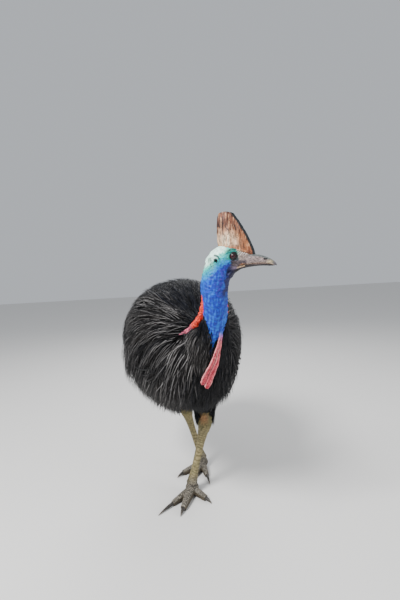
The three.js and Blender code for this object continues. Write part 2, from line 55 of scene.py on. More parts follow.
# A shell's points, and its faces in arrays of one corner count each.
Shell = tuple[Array, list[Array]]
# A centre's x, y and z, and the sizes aside, up and down.
Station = tuple[float, float, float, float, float, float]
Place = tuple[float, float, float]
Object = bpy.types.Object
Socket = bpy.types.NodeSocket

EYE_LEFT = np.array([58.18, -553.63, 1018.0])
PER_METRE = 1000
UV_NAME = "OFBake"
TUFT_PATCH = 0.003
# The steps that spread points evenly over a square, from the plastic number.
EVEN_STEPS = (0.7548776662, 0.5698402910)


class Side(Enum):
    """The bird's two sides, as the sign of X."""

    LEFT = 1
    RIGHT = -1

    @property
    def word(self) -> str:
        """The side's name in small letters."""
        return self.name.lower()


# Numbers and directions


def mix(a: Array | float, b: Array | float, share: Array | float) -> Array:
    """The value at a share of the way from a to b."""
    return a + (b - a) * share


def smooth(low: float, high: float, value: Array) -> Array:
    """A step from 0 to 1 between low and high, level at both ends."""
    share = np.clip((value - low) / (high - low), 0, 1)
    return share * share * (3 - 2 * share)


def hill(value: Array, middle: float, width: float) -> Array:
    """A bell curve of height 1 round a middle value."""
    return np.exp(-(((value - middle) / width) ** 2))


def unit(vectors: Array) -> Array:
    """The vectors at length 1."""
    return vectors / np.maximum(np.linalg.norm(vectors, axis=-1, keepdims=True), 1e-9)


def colour(red: int, green: int, blue: int) -> Array:
    """A screen's colour, 0 to 255, as linear light: a line up to the curve's knee and a power beyond it."""
    share = np.array([red, green, blue]) / 255
    knee, slope, shift, power = 0.04045, 12.92, 0.055, 2.4
    return np.where(share <= knee, share / slope, ((share + shift) / (1 + shift)) ** power)


def ripple(points: Array, size: float, seed: int, waves: int = 9) -> Array:
    """Soft noise between about -1 and 1: a sum of sines in random directions, of a given wavelength."""
    draw = np.random.default_rng(seed)
    ways = unit(draw.normal(size=(waves, 3))) * draw.uniform(0.7, 1.4, (waves, 1))
    turns = points @ ways.T * (2 * np.pi / size) + draw.uniform(0, 2 * np.pi, waves)
    return np.sin(turns).sum(axis=-1) / np.sqrt(waves)


def rings_of(along: Array, sides: int) -> tuple[Array, Array]:
    """A grid of the values along a shape and the angles round it."""
    return np.meshgrid(along, np.linspace(0, 2 * np.pi, sides, endpoint=False), indexing="ij")


def along_curve(points: Array, t: Array, centripetal: bool = False) -> Array:
    """A Catmull-Rom curve: each piece is the cubic through two points with slopes from their neighbours.

    Args:
        points: The curve's points, one a row.
        t: Shares of the way along, each point being an equal share apart.
        centripetal: Whether slopes weigh the square root of the points' distances.

    Returns:
        The curve's places at t.
    """
    last = len(points) - 1
    padded = np.vstack([2 * points[0] - points[1], points, 2 * points[-1] - points[-2]])
    place = np.clip(t, 0, 1) * last
    i = np.minimum(place.astype(int), last - 1)
    w = (place - i)[..., None]
    p0, p1, p2, p3 = (padded[i + k] for k in range(4))
    if centripetal:
        pairs = (p0, p1), (p1, p2), (p2, p3)
        d0, d1, d2 = (np.sqrt(np.linalg.norm(b - a, axis=-1, keepdims=True)) for a, b in pairs)
        m1 = ((p1 - p0) / d0 - (p2 - p0) / (d0 + d1) + (p2 - p1) / d1) * d1
        m2 = ((p2 - p1) / d1 - (p3 - p1) / (d1 + d2) + (p3 - p2) / d2) * d1
    else:
        m1, m2 = (p2 - p0) / 2, (p3 - p1) / 2
    near = (2 * w**3 - 3 * w**2 + 1) * p1 + (w**3 - 2 * w**2 + w) * m1
    return near + (3 * w**2 - 2 * w**3) * p2 + (w**3 - w**2) * m2


@dataclass(frozen=True)
class Tube:
    """A limb or body along a smooth line, oval across, with a size aside, one up and one down.

    Attributes:
        stations: Rows of the centre's x, y and z and the sizes aside, up and down, in millimetres.
        aside: The direction that the size aside keeps to.
    """

    stations: tuple[Station, ...]
    aside: Place = (1, 0, 0)

    def line(self, t: Array) -> Array:
        """The centre line at shares t."""
        return along_curve(np.array(self.stations, float)[:, :3], t)

    def frame(self, t: Array) -> tuple[Array, Array, Array, Array, Array]:
        """The centre, the ways along, aside and up, and the three sizes, at shares t."""
        step = 1e-4
        along = unit(self.line(np.minimum(t + step, 1)) - self.line(np.maximum(t - step, 0)))
        aside = np.array(self.aside, float)
        side = unit(aside - along * (along @ aside)[..., None])
        sizes = along_curve(np.array(self.stations, float)[:, 3:], t)
        return self.line(t), along, side, np.cross(side, along), sizes

    def point(self, t: Array, angle: Array, grow: Array | float = 0.0) -> Array:
        """The skin at an angle from the top: centre + aside * sin(angle) + up * cos(angle), grown."""
        t, angle, grow = np.broadcast_arrays(t, angle, grow)
        centre, _, side, up, sizes = self.frame(t)
        tall = np.where(np.cos(angle) > 0, sizes[..., 1], sizes[..., 2])
        least = 0.4
        wide = np.sin(angle) * np.maximum(least, sizes[..., 0] + grow)
        high = np.cos(angle) * np.maximum(least, tall + grow)
        return centre + side * wide[..., None] + up * high[..., None]

    def size(self, t: Array) -> Array:
        """The size aside at shares t."""
        return along_curve(np.array(self.stations, float)[:, 3:4], t)[..., 0]

    def grid(self, rings: int, sides: int, low: float = 0.0, high: float = 1.0) -> tuple[Array, Array]:
        """The shares and angles of a grid of rings over the tube."""
        return rings_of(np.linspace(low, high, rings), sides)

    def shell(self, rings: int, sides: int, grow: float = 0.0, low: float = 0.0, high: float = 1.0) -> Shell:
        """A closed shell over the tube between two shares."""
        t, angle = self.grid(rings, sides, low, high)
        return shell_over(self.point(t, angle, grow))

    def nearest(self, points: Array, samples: int = 120) -> tuple[Array, Array, Array]:
        """For each point, the share of the nearest place on the line, the angle and the distance."""
        shares = np.linspace(0, 1, samples)
        centres, _, sides, ups, _ = self.frame(shares)
        reach = (points**2).sum(-1)[:, None] - 2 * points @ centres.T + (centres**2).sum(-1)
        best = reach.argmin(axis=1)
        out = points - centres[best]
        angle = np.arctan2((out * sides[best]).sum(-1), (out * ups[best]).sum(-1))
        return shares[best], angle, np.linalg.norm(out, axis=-1)


def rod_over(tube: Tube, rows: list[tuple[float, ...]], side: Side) -> tuple[Station, ...]:
    """Stations of a round rod that runs over a tube.

    Args:
        tube: The tube that it lies on.
        rows: Each station's share, angle from the top in degrees, height over the skin and radius.
        side: The side that the angles are taken to.

    Returns:
        The rod's stations.
    """
    turns = [np.array(side.value * np.radians(row[1])) for row in rows]
    return tuple((*tube.point(np.array(t), turn, h), r, r, r) for (t, _, h, r), turn in zip(rows, turns))


# Meshes


def to_frame(points: Array) -> Array:
    """Points of the bird, in millimetres, as points of the frame, in metres."""
    low, high = (np.array(corner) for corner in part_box("eye_left"))
    return points / PER_METRE + (low + high) / 2 - EYE_LEFT / PER_METRE


def shell_over(points: Array) -> Shell:
    """A closed shell over rings of points, each end drawn to the middle of its ring."""
    rings, sides, _ = points.shape
    i, j = np.meshgrid(np.arange(rings - 1), np.arange(sides), indexing="ij")
    k = (j + 1) % sides
    row, after = i * sides, (i + 1) * sides
    quads = np.stack([row + j, row + k, after + k, after + j], -1).reshape(-1, 4)
    j, k = np.arange(sides), (np.arange(sides) + 1) % sides
    last, hub = (rings - 1) * sides, rings * sides
    start_fan = np.stack([np.full(sides, hub), k, j], -1)
    end_fan = np.stack([np.full(sides, hub + 1), last + j, last + k], -1)
    ends = np.stack([points[0].mean(axis=0), points[-1].mean(axis=0)])
    return np.vstack([points.reshape(-1, 3), ends]), [quads, np.vstack([start_fan, end_fan])]


def joined(shells: list[Shell]) -> Shell:
    """Several shells as one set of points and faces."""
    starts = np.cumsum([0] + [len(points) for points, _ in shells[:-1]])
    faces = [each + start for (_, kinds), start in zip(shells, starts) for each in kinds]
    return np.vstack([points for points, _ in shells]), faces


def new_piece(name: str, shell: Shell) -> Object:
    """An object with a shell of the bird in its mesh, smooth shaded, at the origin.

    Args:
        name: The object's name.
        shell: Points in the bird's millimetres, and faces in arrays of one corner count each.

    Returns:
        The object, in the scene.
    """
    points, kinds = shell
    mesh = bpy.data.meshes.new(name)
    mesh.vertices.add(len(points))
    mesh.vertices.foreach_set("co", to_frame(points).astype(np.float32).ravel())
    corners = np.concatenate([faces.ravel() for faces in kinds]).astype(np.int32)
    counts = np.concatenate([np.full(len(faces), faces.shape[1]) for faces in kinds])
    mesh.loops.add(len(corners))
    mesh.loops.foreach_set("vertex_index", corners)
    mesh.polygons.add(len(counts))
    starts = np.concatenate([[0], np.cumsum(counts)[:-1]])
    mesh.polygons.foreach_set("loop_start", starts.astype(np.int32))
    mesh.polygons.foreach_set("use_smooth", np.ones(len(counts), bool))
    mesh.update(calc_edges=True)
    mesh.validate()
    piece = bpy.data.objects.new(name, mesh)
    bpy.context.scene.collection.objects.link(piece)
    return piece


def fused(name: str, shells: list[Shell], voxel: float, softening: int) -> Object:
    """One skin over overlapping closed shells: their union on a grid of voxels, then softened.

    Args:
        name: The object's name.
        shells: Closed shells that overlap where they join.
        voxel: The grid's size, in millimetres.
        softening: Rounds of smoothing, which blend the joints.

    Returns:
        The object, with its modifiers already applied.
    """
    piece = new_piece(name, joined(shells))
    fuse = piece.modifiers.new("Fuse", "REMESH")
    fuse.mode = "VOXEL"
    fuse.voxel_size = voxel / PER_METRE
    fuse.use_smooth_shade = True
    soften = piece.modifiers.new("Soften", "SMOOTH")
    soften.factor = 0.5
    soften.iterations = softening
    graph = bpy.context.evaluated_depsgraph_get()
    rough = piece.data
    mesh = bpy.data.meshes.new_from_object(piece.evaluated_get(graph), depsgraph=graph)
    piece.modifiers.clear()
    piece.data = mesh
    bpy.data.meshes.remove(rough)
    mesh.name = name
    return piece


def points_of(piece: Object) -> tuple[Array, Array]:
    """A piece's points in the bird's millimetres, and their normals."""
    count = len(piece.data.vertices)
    flat = np.zeros(count * 3, np.float32)
    piece.data.vertices.foreach_get("co", flat)
    normals = np.zeros(count * 3, np.float32)
    piece.data.vertex_normals.foreach_get("vector", normals)
    shift = to_frame(np.zeros((1, 3)))
    return (flat.reshape(-1, 3) - shift) * PER_METRE, normals.reshape(-1, 3).astype(float)


def set_points(piece: Object, points: Array) -> None:
    """Moves a piece's points to places in the bird's millimetres."""
    piece.data.vertices.foreach_set("co", to_frame(points).astype(np.float32).ravel())
    piece.data.update()


def paint(piece: Object, tint: Array) -> None:
    """Gives a piece a colour at each point, in linear light."""
    rgba = np.ones((len(tint), 4), np.float32)
    rgba[:, :3] = np.clip(tint, 0, 1)
    layer = piece.data.attributes.new("tint", "FLOAT_COLOR", "POINT")
    layer.data.foreach_set("color", rgba.ravel())


def paint_plain(piece: Object, *shade: int) -> None:
    """Gives a piece one colour."""
    paint(piece, Tint(len(piece.data.vertices), *shade).values)


class Tint:
    """The colour of each point, in linear light, laid on in layers."""

    def __init__(self, count: int, *shade: int) -> None:
        """Starts with one colour at every point."""
        self.values = np.tile(colour(*shade), (count, 1))

    def lay(self, shade: tuple[int, int, int] | Array, share: Array) -> None:
        """Lays a colour, or one for each point, over what is there, by a share from 0 to 1."""
        over = colour(*shade) if isinstance(shade, tuple) else shade
        self.values = mix(self.values, over, np.clip(share, 0, 1)[:, None])


def place(piece: Object, finish: "Finish", slot: str, *nodes: str) -> Object:
    """Gives a piece its material and its body, and hides the nodes that it stands for.

    Args:
        piece: The object.
        finish: What its surface is like.
        slot: The record's material slot. Not used.
        nodes: The fixed frame's nodes that it replaces.

    Returns:
        The object.
    """
    piece.data.materials.clear()
    piece.data.materials.append(finish.material())
    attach(piece, "root")
    if nodes:
        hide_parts(*nodes)
    log.info("%s: %d points, %d faces", piece.name, len(piece.data.vertices), len(piece.data.polygons))
    return piece


# Finishes


def add_node(tree: bpy.types.NodeTree, kind: str, **inputs: object) -> bpy.types.Node:
    """A shader node, with inputs set to constants or linked to another node's outputs.

    Args:
        tree: The material's nodes.
        kind: The node's kind, without ShaderNode.
        inputs: A constant or an output for each input's name, with _ for a space.

    Returns:
        The node.
    """
    node = tree.nodes.new("ShaderNode" + kind)
    for name, value in inputs.items():
        socket = node.inputs[name.replace("_", " ")]
        if isinstance(value, Socket):
            tree.links.new(value, socket)
        else:
            socket.default_value = value
    return node


@dataclass(frozen=True)
class Finish:
    """A surface that takes its colours from the piece's tint, with a fine mottle and relief of its own.

    Attributes:
        name: The material's name.
        roughness: How dull it is.
        shine: The strength of its reflection, 0.5 for skin and horn.
        mottle: How much darker the mottle's dark spots are, 0 to 1.
        mottle_size: The spots' size, in millimetres.
        grain: The height of the fine grain, in millimetres.
        grain_size: The grain's size, in millimetres.
        bead: The height of rounded beads or small scales, in millimetres.
        bead_size: The beads' size, in millimetres.
        stretch: How much longer the mottle and grain are upright than across.
        coat: The strength of a clear, wet layer over it.
    """

    name: str
    roughness: float = 0.5
    shine: float = 0.5
    mottle: float = 0.25
    mottle_size: float = 3.0
    grain: float = 0.15
    grain_size: float = 1.2
    bead: float = 0.0
    bead_size: float = 3.0
    stretch: float = 1.0
    coat: float = 0.0

    def material(self) -> bpy.types.Material:
        """The Blender material, made once and then shared."""
        made = bpy.data.materials.get(self.name)
        if made:
            return made
        made = bpy.data.materials.new(self.name)
        made.use_nodes = True
        tree = made.node_tree
        shader = tree.nodes["Principled BSDF"]
        shader.inputs["Roughness"].default_value = self.roughness
        shader.inputs["Specular IOR Level"].default_value = self.shine
        shader.inputs["Coat Weight"].default_value = self.coat
        shader.inputs["Coat Roughness"].default_value = 0.05
        tint = add_node(tree, "Attribute")
        tint.attribute_name = "tint"
        own = add_node(tree, "TexCoord").outputs["Object"]
        squeeze = add_node(tree, "Mapping", Vector=own, Scale=(1, 1, 1 / self.stretch)).outputs["Vector"]
        spots = self.noise(tree, squeeze, self.mottle_size, 3)
        fade = add_node(tree, "MapRange", Value=spots, From_Min=0.38, From_Max=0.62)
        fade.inputs["To Min"].default_value = 1 - self.mottle
        fade.inputs["To Max"].default_value = 1 + self.mottle * 0.4
        shade = add_node(tree, "VectorMath")
        shade.operation = "SCALE"
        tree.links.new(tint.outputs["Color"], shade.inputs[0])
        tree.links.new(fade.outputs["Result"], shade.inputs["Scale"])
        tree.links.new(shade.outputs["Vector"], shader.inputs["Base Color"])
        reliefs = []
        if self.grain:
            reliefs.append((self.noise(tree, squeeze, self.grain_size, 4), self.grain))
        if self.bead:
            reliefs.append((self.beads(tree, squeeze), self.bead))
        normal = None
        for height, reach in reliefs:
            bump = add_node(tree, "Bump", Height=height, Distance=reach / PER_METRE, Strength=1)
            if normal:
                tree.links.new(normal, bump.inputs["Normal"])
            normal = bump.outputs["Normal"]
        if normal:
            tree.links.new(normal, shader.inputs["Normal"])
        return made

    def noise(self, tree: bpy.types.NodeTree, own: Socket, size: float, detail: int) -> Socket:
        """Noise on the piece's own coordinates, with features of a size in millimetres."""
        return add_node(tree, "TexNoise", Vector=own, Scale=500 / size, Detail=detail).outputs["Fac"]

    def beads(self, tree: bpy.types.NodeTree, own: Socket) -> Socket:
        """Rounded beads, high in their middles: one less the distance to the nearest middle."""
        cells = add_node(tree, "TexVoronoi", Vector=own, Scale=PER_METRE / self.bead_size)
        cells.feature = "SMOOTH_F1"
        cells.inputs["Smoothness"].default_value = 0.25
        turned = add_node(tree, "Math")
        turned.operation = "SUBTRACT"
        turned.inputs[0].default_value = 1
        tree.links.new(cells.outputs["Distance"], turned.inputs[1])
        return turned.outputs["Value"]


BARE_SKIN = Finish(
    "skin_finish", 0.55, 0.35, mottle=0.3, mottle_size=3.5, grain=0.35, bead=0.5, bead_size=3.2
)
CASQUE_HORN = Finish(
    "casque_finish", 0.55, 0.4, mottle=0.45, mottle_size=2.6, grain=0.5, grain_size=2.2, stretch=4
)
BILL_HORN = Finish("bill_finish", 0.45, 0.4, mottle=0.25, mottle_size=3, grain=0.14, grain_size=1.6)
LEG_SCALES = Finish(
    "leg_finish", 0.65, 0.35, mottle=0.35, mottle_size=4, grain=0.25, bead=0.45, bead_size=4.2
)
CLAW_HORN = Finish("claw_finish", 0.45, 0.4, mottle=0.3, mottle_size=3, grain=0.15, grain_size=2)
QUILL_HORN = Finish("quill_finish", 0.6, 0.25, mottle=0.1, grain=0.0)
WET_EYE = Finish("eye_finish", 0.34, 0.35, mottle=0.15, mottle_size=0.8, grain=0.0, coat=0.08)
UNDERCOAT = Finish("undercoat_finish", 0.85, 0.1, mottle=0.3, mottle_size=5, grain=0.8, grain_size=4)
FEATHERS = Finish("feather_finish", 0.5, 0.14, mottle=0.25, mottle_size=9, grain=0.0)


# The bird's main lines

TORSO = Tube(
    (
        (1, -404, 760, 70, 58, 68),
        (0, -345, 738, 106, 88, 122),
        (-6, -250, 712, 156, 148, 192),
        (-12, -100, 700, 202, 202, 224),
        (-16, 60, 694, 214, 216, 214),
        (-16, 210, 668, 192, 194, 184),
        (-14, 320, 630, 142, 142, 138),
        (-12, 392, 594, 76, 78, 84),
        (-12, 416, 578, 8, 8, 8),
    )
)
NECK = Tube(
    (
        (6, -549, 1004, 35, 36, 36),
        (-2, -544, 962, 41, 42, 42),
        (-7, -538, 926, 41, 42, 42),
        (-5, -530, 890, 39, 42, 42),
        (-2, -512, 846, 39.5, 44, 46),
        (-1, -480, 804, 46, 48, 58),
        (0, -434, 774, 60, 54, 66),
        (0, -388, 754, 76, 62, 72),
    )
)


class HeadPlace:
    """The head's own frame: the bill along -Y, the left side at +X, the origin between the eyes."""

    origin = np.array([48.0, -572.0, 1018.0])
    yaw = np.radians(61)

    @classmethod
    def turn(cls) -> Array:
        """The rotation from the head to the bird."""
        c, s = np.cos(cls.yaw), np.sin(cls.yaw)
        return np.array([[c, -s, 0], [s, c, 0], [0, 0, 1]])

    @classmethod
    def out(cls, points: Array) -> Array:
        """Points of the head as points of the bird."""
        return points @ cls.turn().T + cls.origin

    @classmethod
    def into(cls, points: Array) -> Array:
        """Points of the bird as points of the head."""
        return (points - cls.origin) @ cls.turn()

    @classmethod
    def shell(cls, shell: Shell) -> Shell:
        """A shell of the head, placed on the bird."""
        return cls.out(shell[0]), shell[1]

    @classmethod
    def piece(cls, name: str, points: Array) -> tuple[Object, Array]:
        """A piece over rings of the head's points, and its own points, again as points of the head."""
        made = new_piece(name, cls.shell(shell_over(points)))
        return made, cls.into(points_of(made)[0])


def feathered(t: Array, turn: Array) -> Array:
    """How much of the neck's base is feathered, round the bare bib and between it and the strips.

    Args:
        t: The share of the neck's length.
        turn: The angle from the nape, in degrees, positive to the left.

    Returns:
        1 on feathered skin, 0 on bare skin.
    """
    down = [0.53, 0.549, 0.581, 0.627, 0.682, 0.767, 0.825, 0.9, 0.96]
    right = np.interp(t, down, [92, 108, 130, 143, 152, 161, 165, 171, 184])
    left = np.interp(t, [0.5, 0.549, 0.581, 0.627, 0.667, 0.689, 0.72], [92, 112, 131, 150, 163, 172, 184])
    bib = np.where(turn < 0, right, left)
    middle = np.interp(t, [0.5, 0.6, 0.7, 0.82, 0.93, 1.0], [90, 90, 80, 61, 64, 68])
    beyond = smooth(middle + 3, middle + 7, np.abs(turn))
    nape = smooth(0.82, 0.88, t)
    return smooth(bib + 2, bib - 2, np.abs(turn)) * np.maximum(beyond, nape) * smooth(0.51, 0.54, t)


@dataclass
class BareSkin:
    """The bare skin of the head and neck with its two wattles, fused as one.

    Attributes:
        skull: The skull's tube, in the head's frame.
        throat: The loose skin from the lower bill to the neck's front, in the head's frame.
        wattles: For each side, the lappet's line and its half widths.
        strip_line: The red strip's line down each side of the neck's base, as shares, angles, sizes and
            heights over the skin.
        strip_end: Its end on the shoulder, as shares, angles, heights over the skin and sizes.
        strip_low: The left strip's height, under the skin.
        voxel: The size of the skin's grid.
    """

    skull: Tube = Tube(
        (
            (0, 87, -34, 5, 5, 5),
            (0, 76, -31, 22, 24, 30),
            (0, 62, -22, 31, 31, 42),
            (0, 48, -14, 36, 38, 46),
            (0, 33, -10, 37, 44, 40),
            (0, 15, -8, 34, 41, 38),
            (0, 0, -8, 31, 38, 36),
            (0, -17, -11, 24.5, 28, 28),
            (0, -38, -14.5, 16.5, 20.5, 18.5),
        ),
        (-1, 0, 0),
    )
    throat: Tube = Tube(
        (
            (0, -24, -27, 8, 5, 5),
            (0, -8, -35, 13, 7, 7),
            (0, 6, -43, 17, 8, 8),
            (0, 17, -55, 20, 9, 9),
            (0, 31, -73, 20, 8, 8),
        ),
        (-1, 0, 0),
    )
    wattles: dict[Side, tuple[Station, ...]] = field(
        default_factory=lambda: {
            Side.RIGHT: (
                (15, -512, 826, 1, 2, 2),
                (8, -537, 790, 1.8, 2.8, 2.8),
                (0, -536, 756, 2.7, 3, 3),
                (-9, -530, 726, 3.8, 3.2, 3.2),
                (-18.5, -524, 697, 5.4, 3.2, 3.2),
                (-29, -516, 674, 6.2, 3.2, 3.2),
                (-38, -508, 652, 7.8, 3.2, 3.2),
                (-45, -504, 634, 7.4, 3, 3),
                (-48, -503, 625, 2.6, 2.6, 2.6),
            ),
            Side.LEFT: (
                (20, -512, 824, 1, 2, 2),
                (12, -537, 788, 1.6, 2.8, 2.8),
                (6.4, -536, 754, 2.3, 3, 3),
                (1.6, -530, 725, 3.4, 3.2, 3.2),
                (-3, -523, 696, 5.4, 3.2, 3.2),
                (-12.5, -515, 672, 8.4, 3.2, 3.2),
                (-22.5, -508, 646, 10, 3.2, 3.2),
                (-31.5, -504, 621, 8.8, 3, 3),
                (-35, -503, 612, 3, 2.6, 2.6),
            ),
        }
    )
    strip_line: tuple[tuple[float, float, float, float], ...] = (
        (0.36, 92, 1.4, 0), (0.43, 91, 4.2, -1), (0.5, 90, 6, 1), (0.57, 89, 6.8, 5), (0.64, 86, 8, 9),
        (0.73, 76, 8.6, 9), (0.82, 62, 7, 4), (0.93, 64, 5, 0),
    )
    strip_end: tuple[tuple[float, float, float, float], ...] = ((0.05, 73, 1.0, 3.6), (0.08, 77, 1.0, 1.2))
    strip_low: float = -3.8
    voxel: float = 1.53

    def strip_tube(self, side: Side) -> Tube:
        """The red strip's ridge, down the neck and onto the shoulder. The left one lies flat."""
        raised = 1.0 if side is Side.RIGHT else 0.0
        rows = [(t, a, mix(self.strip_low, high, raised), size) for t, a, size, high in self.strip_line]
        stations = rod_over(NECK, rows, side) + rod_over(TORSO, list(self.strip_end), side)
        return Tube(stations, (0, 0, 1))

    def strip_gap(self, points: Array) -> Array:
        """The distance from each point to the nearer red strip's line."""
        return np.min([self.strip_tube(side).nearest(points)[2] for side in Side], axis=0)

    def strip_shell(self, side: Side) -> Shell:
        """The ridge in cross pleats: its size waves along it, with uneven steps."""
        tube = self.strip_tube(side)
        t, angle = tube.grid(220, 24)
        pleat = np.sin(t * 2 * np.pi * 33 + 2.2 * np.sin(t * 31) + 1.4 * np.sin(angle * 3 + t * 20))
        pleat += 0.7 * np.sin(t * 61 + angle * 2)
        return shell_over(tube.point(t, angle, 1.9 * pleat * smooth(0, 0.2, t) * smooth(1, 0.85, t)))

    def wattle_shell(self, side: Side) -> Shell:
        """A lappet: its tube with rolled rims aside and a groove down its middle, front and back."""
        tube = Tube(self.wattles[side])
        t, angle = tube.grid(60, 32)
        rim = 1.1 * np.abs(np.sin(angle)) - 1.7 * np.abs(np.cos(angle)) ** 6
        wave = 0.3 * np.sin(t * 46 + np.sin(angle) * 2)
        return shell_over(tube.point(t, angle, rim + wave))

    def build(self) -> Object:
        """The fused skin, with its folds raised and its markings painted."""
        shells = [
            NECK.shell(60, 48),
            HeadPlace.shell(self.skull.shell(50, 48)),
            HeadPlace.shell(self.throat.shell(30, 32)),
            *(self.wattle_shell(side) for side in Side),
            *(self.strip_shell(side) for side in Side),
        ]
        piece = fused("skin_head_neck", shells, self.voxel, 3)
        points, normals = points_of(piece)
        where = self.regions(points)
        set_points(piece, self.folded(points, normals, where))
        paint(piece, self.markings(points, where))
        return place(piece, BARE_SKIN, "blue_skin", "head", "neck", "wattle_left", "wattle_right")

    def regions(self, points: Array) -> dict[str, Array]:
        """Where each point lies: in the head's frame, on the neck, on a strip and on a wattle.

        Args:
            points: The skin's points.

        Returns:
            By name: the place in the head's frame, the neck's share and angle, how much it is strip, how
            much it is wattle, how far across its own lappet it lies and how near the groove between both.
        """
        head = HeadPlace.into(points)
        t, angle, _ = NECK.nearest(points, 200)
        hang, strip = np.zeros(len(points)), np.zeros(len(points))
        across = []
        for side in Side:
            lappet = Tube(self.wattles[side])
            share, _, gap = lappet.nearest(points)
            size = lappet.size(share) + 1.6
            across.append(gap / size)
            hang = np.maximum(hang, smooth(0.1, 0.24, share) * smooth(1.9, 1.35, gap / size))
            ridge = self.strip_tube(side)
            share, _, gap = ridge.nearest(points)
            size = ridge.size(share)
            strip = np.maximum(strip, smooth(4.6, 2.6, gap - size))
        groove = hill(across[0] - across[1], 0, 0.26) * smooth(2.2, 1.6, np.minimum(*across))
        return {
            "head": head, "t": t, "angle": np.degrees(angle), "strip": strip, "wattle": hang,
            "across": np.minimum(*across), "groove": groove * hang,
        }

    @staticmethod
    def gape(y: Array) -> Array:
        """The height of the mouth's line in the head's frame: a parabola that falls to the rear."""
        return -28.0 - 0.2 * (y + 23) - 0.004 * (y + 23) ** 2

    def folded(self, points: Array, normals: Array, where: dict[str, Array]) -> Array:
        """Raises the brow, lore, cheek, ear and lip folds, the wrinkles of the nape and the neck's beads.

        Each fold is a bell curve across its line, kept to its place by others along it, and moves the
        skin along its normal. The skin behind each eyeball is sunk flat.

        Args:
            points: The skin's points.
            normals: The normals there.
            where: What regions() says of the points.

        Returns:
            The moved points.
        """
        head, t, angle = where["head"], where["t"], where["angle"]
        x, y, z = np.abs(head[:, 0]), head[:, 1], head[:, 2]
        side, ear_side = smooth(12, 20, x), smooth(20, 26, x)
        lift = np.zeros(len(points))
        brow = 13.5 - 0.01 * (y - 2) ** 2
        lift += 2.2 * hill(z, brow, 2.6) * smooth(-24, -14, y) * smooth(26, 14, y) * side
        lift -= 1.2 * hill(z, brow - 4.5, 2.0) * smooth(-20, -12, y) * smooth(22, 12, y) * side
        lift += 1.6 * hill(z, brow + 6.5, 2.2) * smooth(-18, -8, y) * smooth(24, 10, y) * side
        lift += 1.3 * hill(np.hypot(y, z + 1), 14, 2.2) * smooth(4, -6, z) * side
        lift += 3.0 * smooth(-12, -22, y) * hill(z, 5, 6)
        on_lore = smooth(-13, -17, y) * smooth(-36, -30, y)
        lift += 0.9 * lore_ridges(y, z) * on_lore * smooth(0, 4, z) * smooth(14, 9, z)
        lift += 0.6 * ripple(head, 7, 6) * smooth(8, 2, y) * smooth(-12, -16, z) * smooth(-40, -34, z)
        gape = self.gape(y)
        along_gape = smooth(-44, -36, y) * smooth(-2, -9, y)
        lift -= 1.4 * hill(z, gape + 1.4, 1.6) * along_gape
        lift += 1.0 * (hill(z, gape + 4.6, 2.0) + hill(z, gape - 1.8, 2.0)) * along_gape
        ear = ear_gap(y, z)
        lift -= 6.5 * smooth(5.4, 2.6, ear) * ear_side
        lift += 1.8 * hill(ear, 7.8, 1.7) * ear_side
        lift += 2.4 * ear_fold(y, z) * ear_side
        behind = smooth(54, 62, y) * smooth(30, 18, z) * smooth(-56, -44, z)
        lift += behind * 0.9 * np.sin((y * 0.55 + z * 0.9) * 0.75 + 0.9 * ripple(head, 16, 3))
        lift += smooth(-62, -50, z) * smooth(95, 80, y) * 0.25 * ripple(head, 5, 5)
        on_neck = smooth(0.06, 0.14, t) * (1 - where["wattle"]) * (1 - where["strip"])
        rings = np.sin(t * 150 + 2.2 * ripple(points, 34, 7) + angle * 0.01)
        lift += on_neck * (0.45 * rings + 0.3 * ripple(points, 7, 9) + 0.5 * ripple(points, 18, 11))
        nape = smooth(0.42, 0.52, t) * smooth(70, 40, np.abs(angle))
        lift += nape * on_neck * 1.1 * np.sin(t * 120 + 2 * ripple(points, 20, 17))
        lift += where["strip"] * 0.5 * ripple(points, 6, 15)
        lift += where["wattle"] * (0.35 * ripple(points, 5, 19) - 0.9 * where["groove"])
        moved = HeadPlace.into(points + normals * lift[:, None])
        out = np.abs(moved[:, 0])
        sunk = np.sign(moved[:, 0]) * np.minimum(out, 26.5)
        moved[:, 0] = np.where((np.hypot(y, z) < 8.2) & (out > 15), sunk, moved[:, 0])
        return HeadPlace.out(moved)

    def markings(self, points: Array, where: dict[str, Array]) -> Array:
        """The skin's colours: mint crown, teal round the eye, cobalt neck, red strips and wattles.

        Args:
            points: The skin's points.
            where: What regions() says of them.

        Returns:
            The tint at each point.
        """
        head, t, angle = where["head"], where["t"], where["angle"]
        x, y, z = np.abs(head[:, 0]), head[:, 1], head[:, 2]
        wave = ripple(points, 16, 31)
        fine = ripple(points, 6, 33)
        long = ripple(points * np.array([1, 1, 0.4]), 9, 35)
        tint = Tint(len(points), 0, 50, 174)
        lay = tint.lay
        lay((0, 96, 200), 0.85 * smooth(0.1, 1.0, long + 0.4 * wave))
        lay((40, 70, 196), 0.4 * smooth(0.7, 1.4, fine - 0.5 * long))
        lay((6, 34, 140), 0.7 * smooth(-0.2, -1.0, long + 0.5 * fine))
        round_by = angle % 360
        upper = smooth(0.46, 0.26, t + 0.03 * wave)
        lay((0, 78, 182), hill(round_by, 262, 28) * upper * 0.85)
        lay((60, 40, 150), hill(round_by, 178, 19) * upper * smooth(-0.5, 0.5, fine) * 0.65)
        # Partly painted shade: dark indigo on the left front of the upper neck.
        lay((12, 6, 58), smooth(168, 148, round_by + 6 * wave) * smooth(96, 122, round_by) * upper * 0.88)
        lay((4, 108, 206), smooth(0.45, 0.6, t) * 0.6 * smooth(-0.5, 0.5, long))
        edge = np.interp(y, [-30, 0, 18, 37, 60, 78, 100], [-12, -13, -15, -24, -45, -57, -64]) + 2.5 * wave
        over = z - edge
        above = smooth(-10, 6, y)
        lay((0, 124, 200), smooth(-11, -1, over + 3 * fine) * above)
        lay((0, 146, 172), smooth(0, 9, over + 4 * fine) * above)
        lay((0, 92, 168), hill(over, 3, 9) * smooth(0.2, 0.9, ripple(points, 4.5, 37)) * above * 0.6)
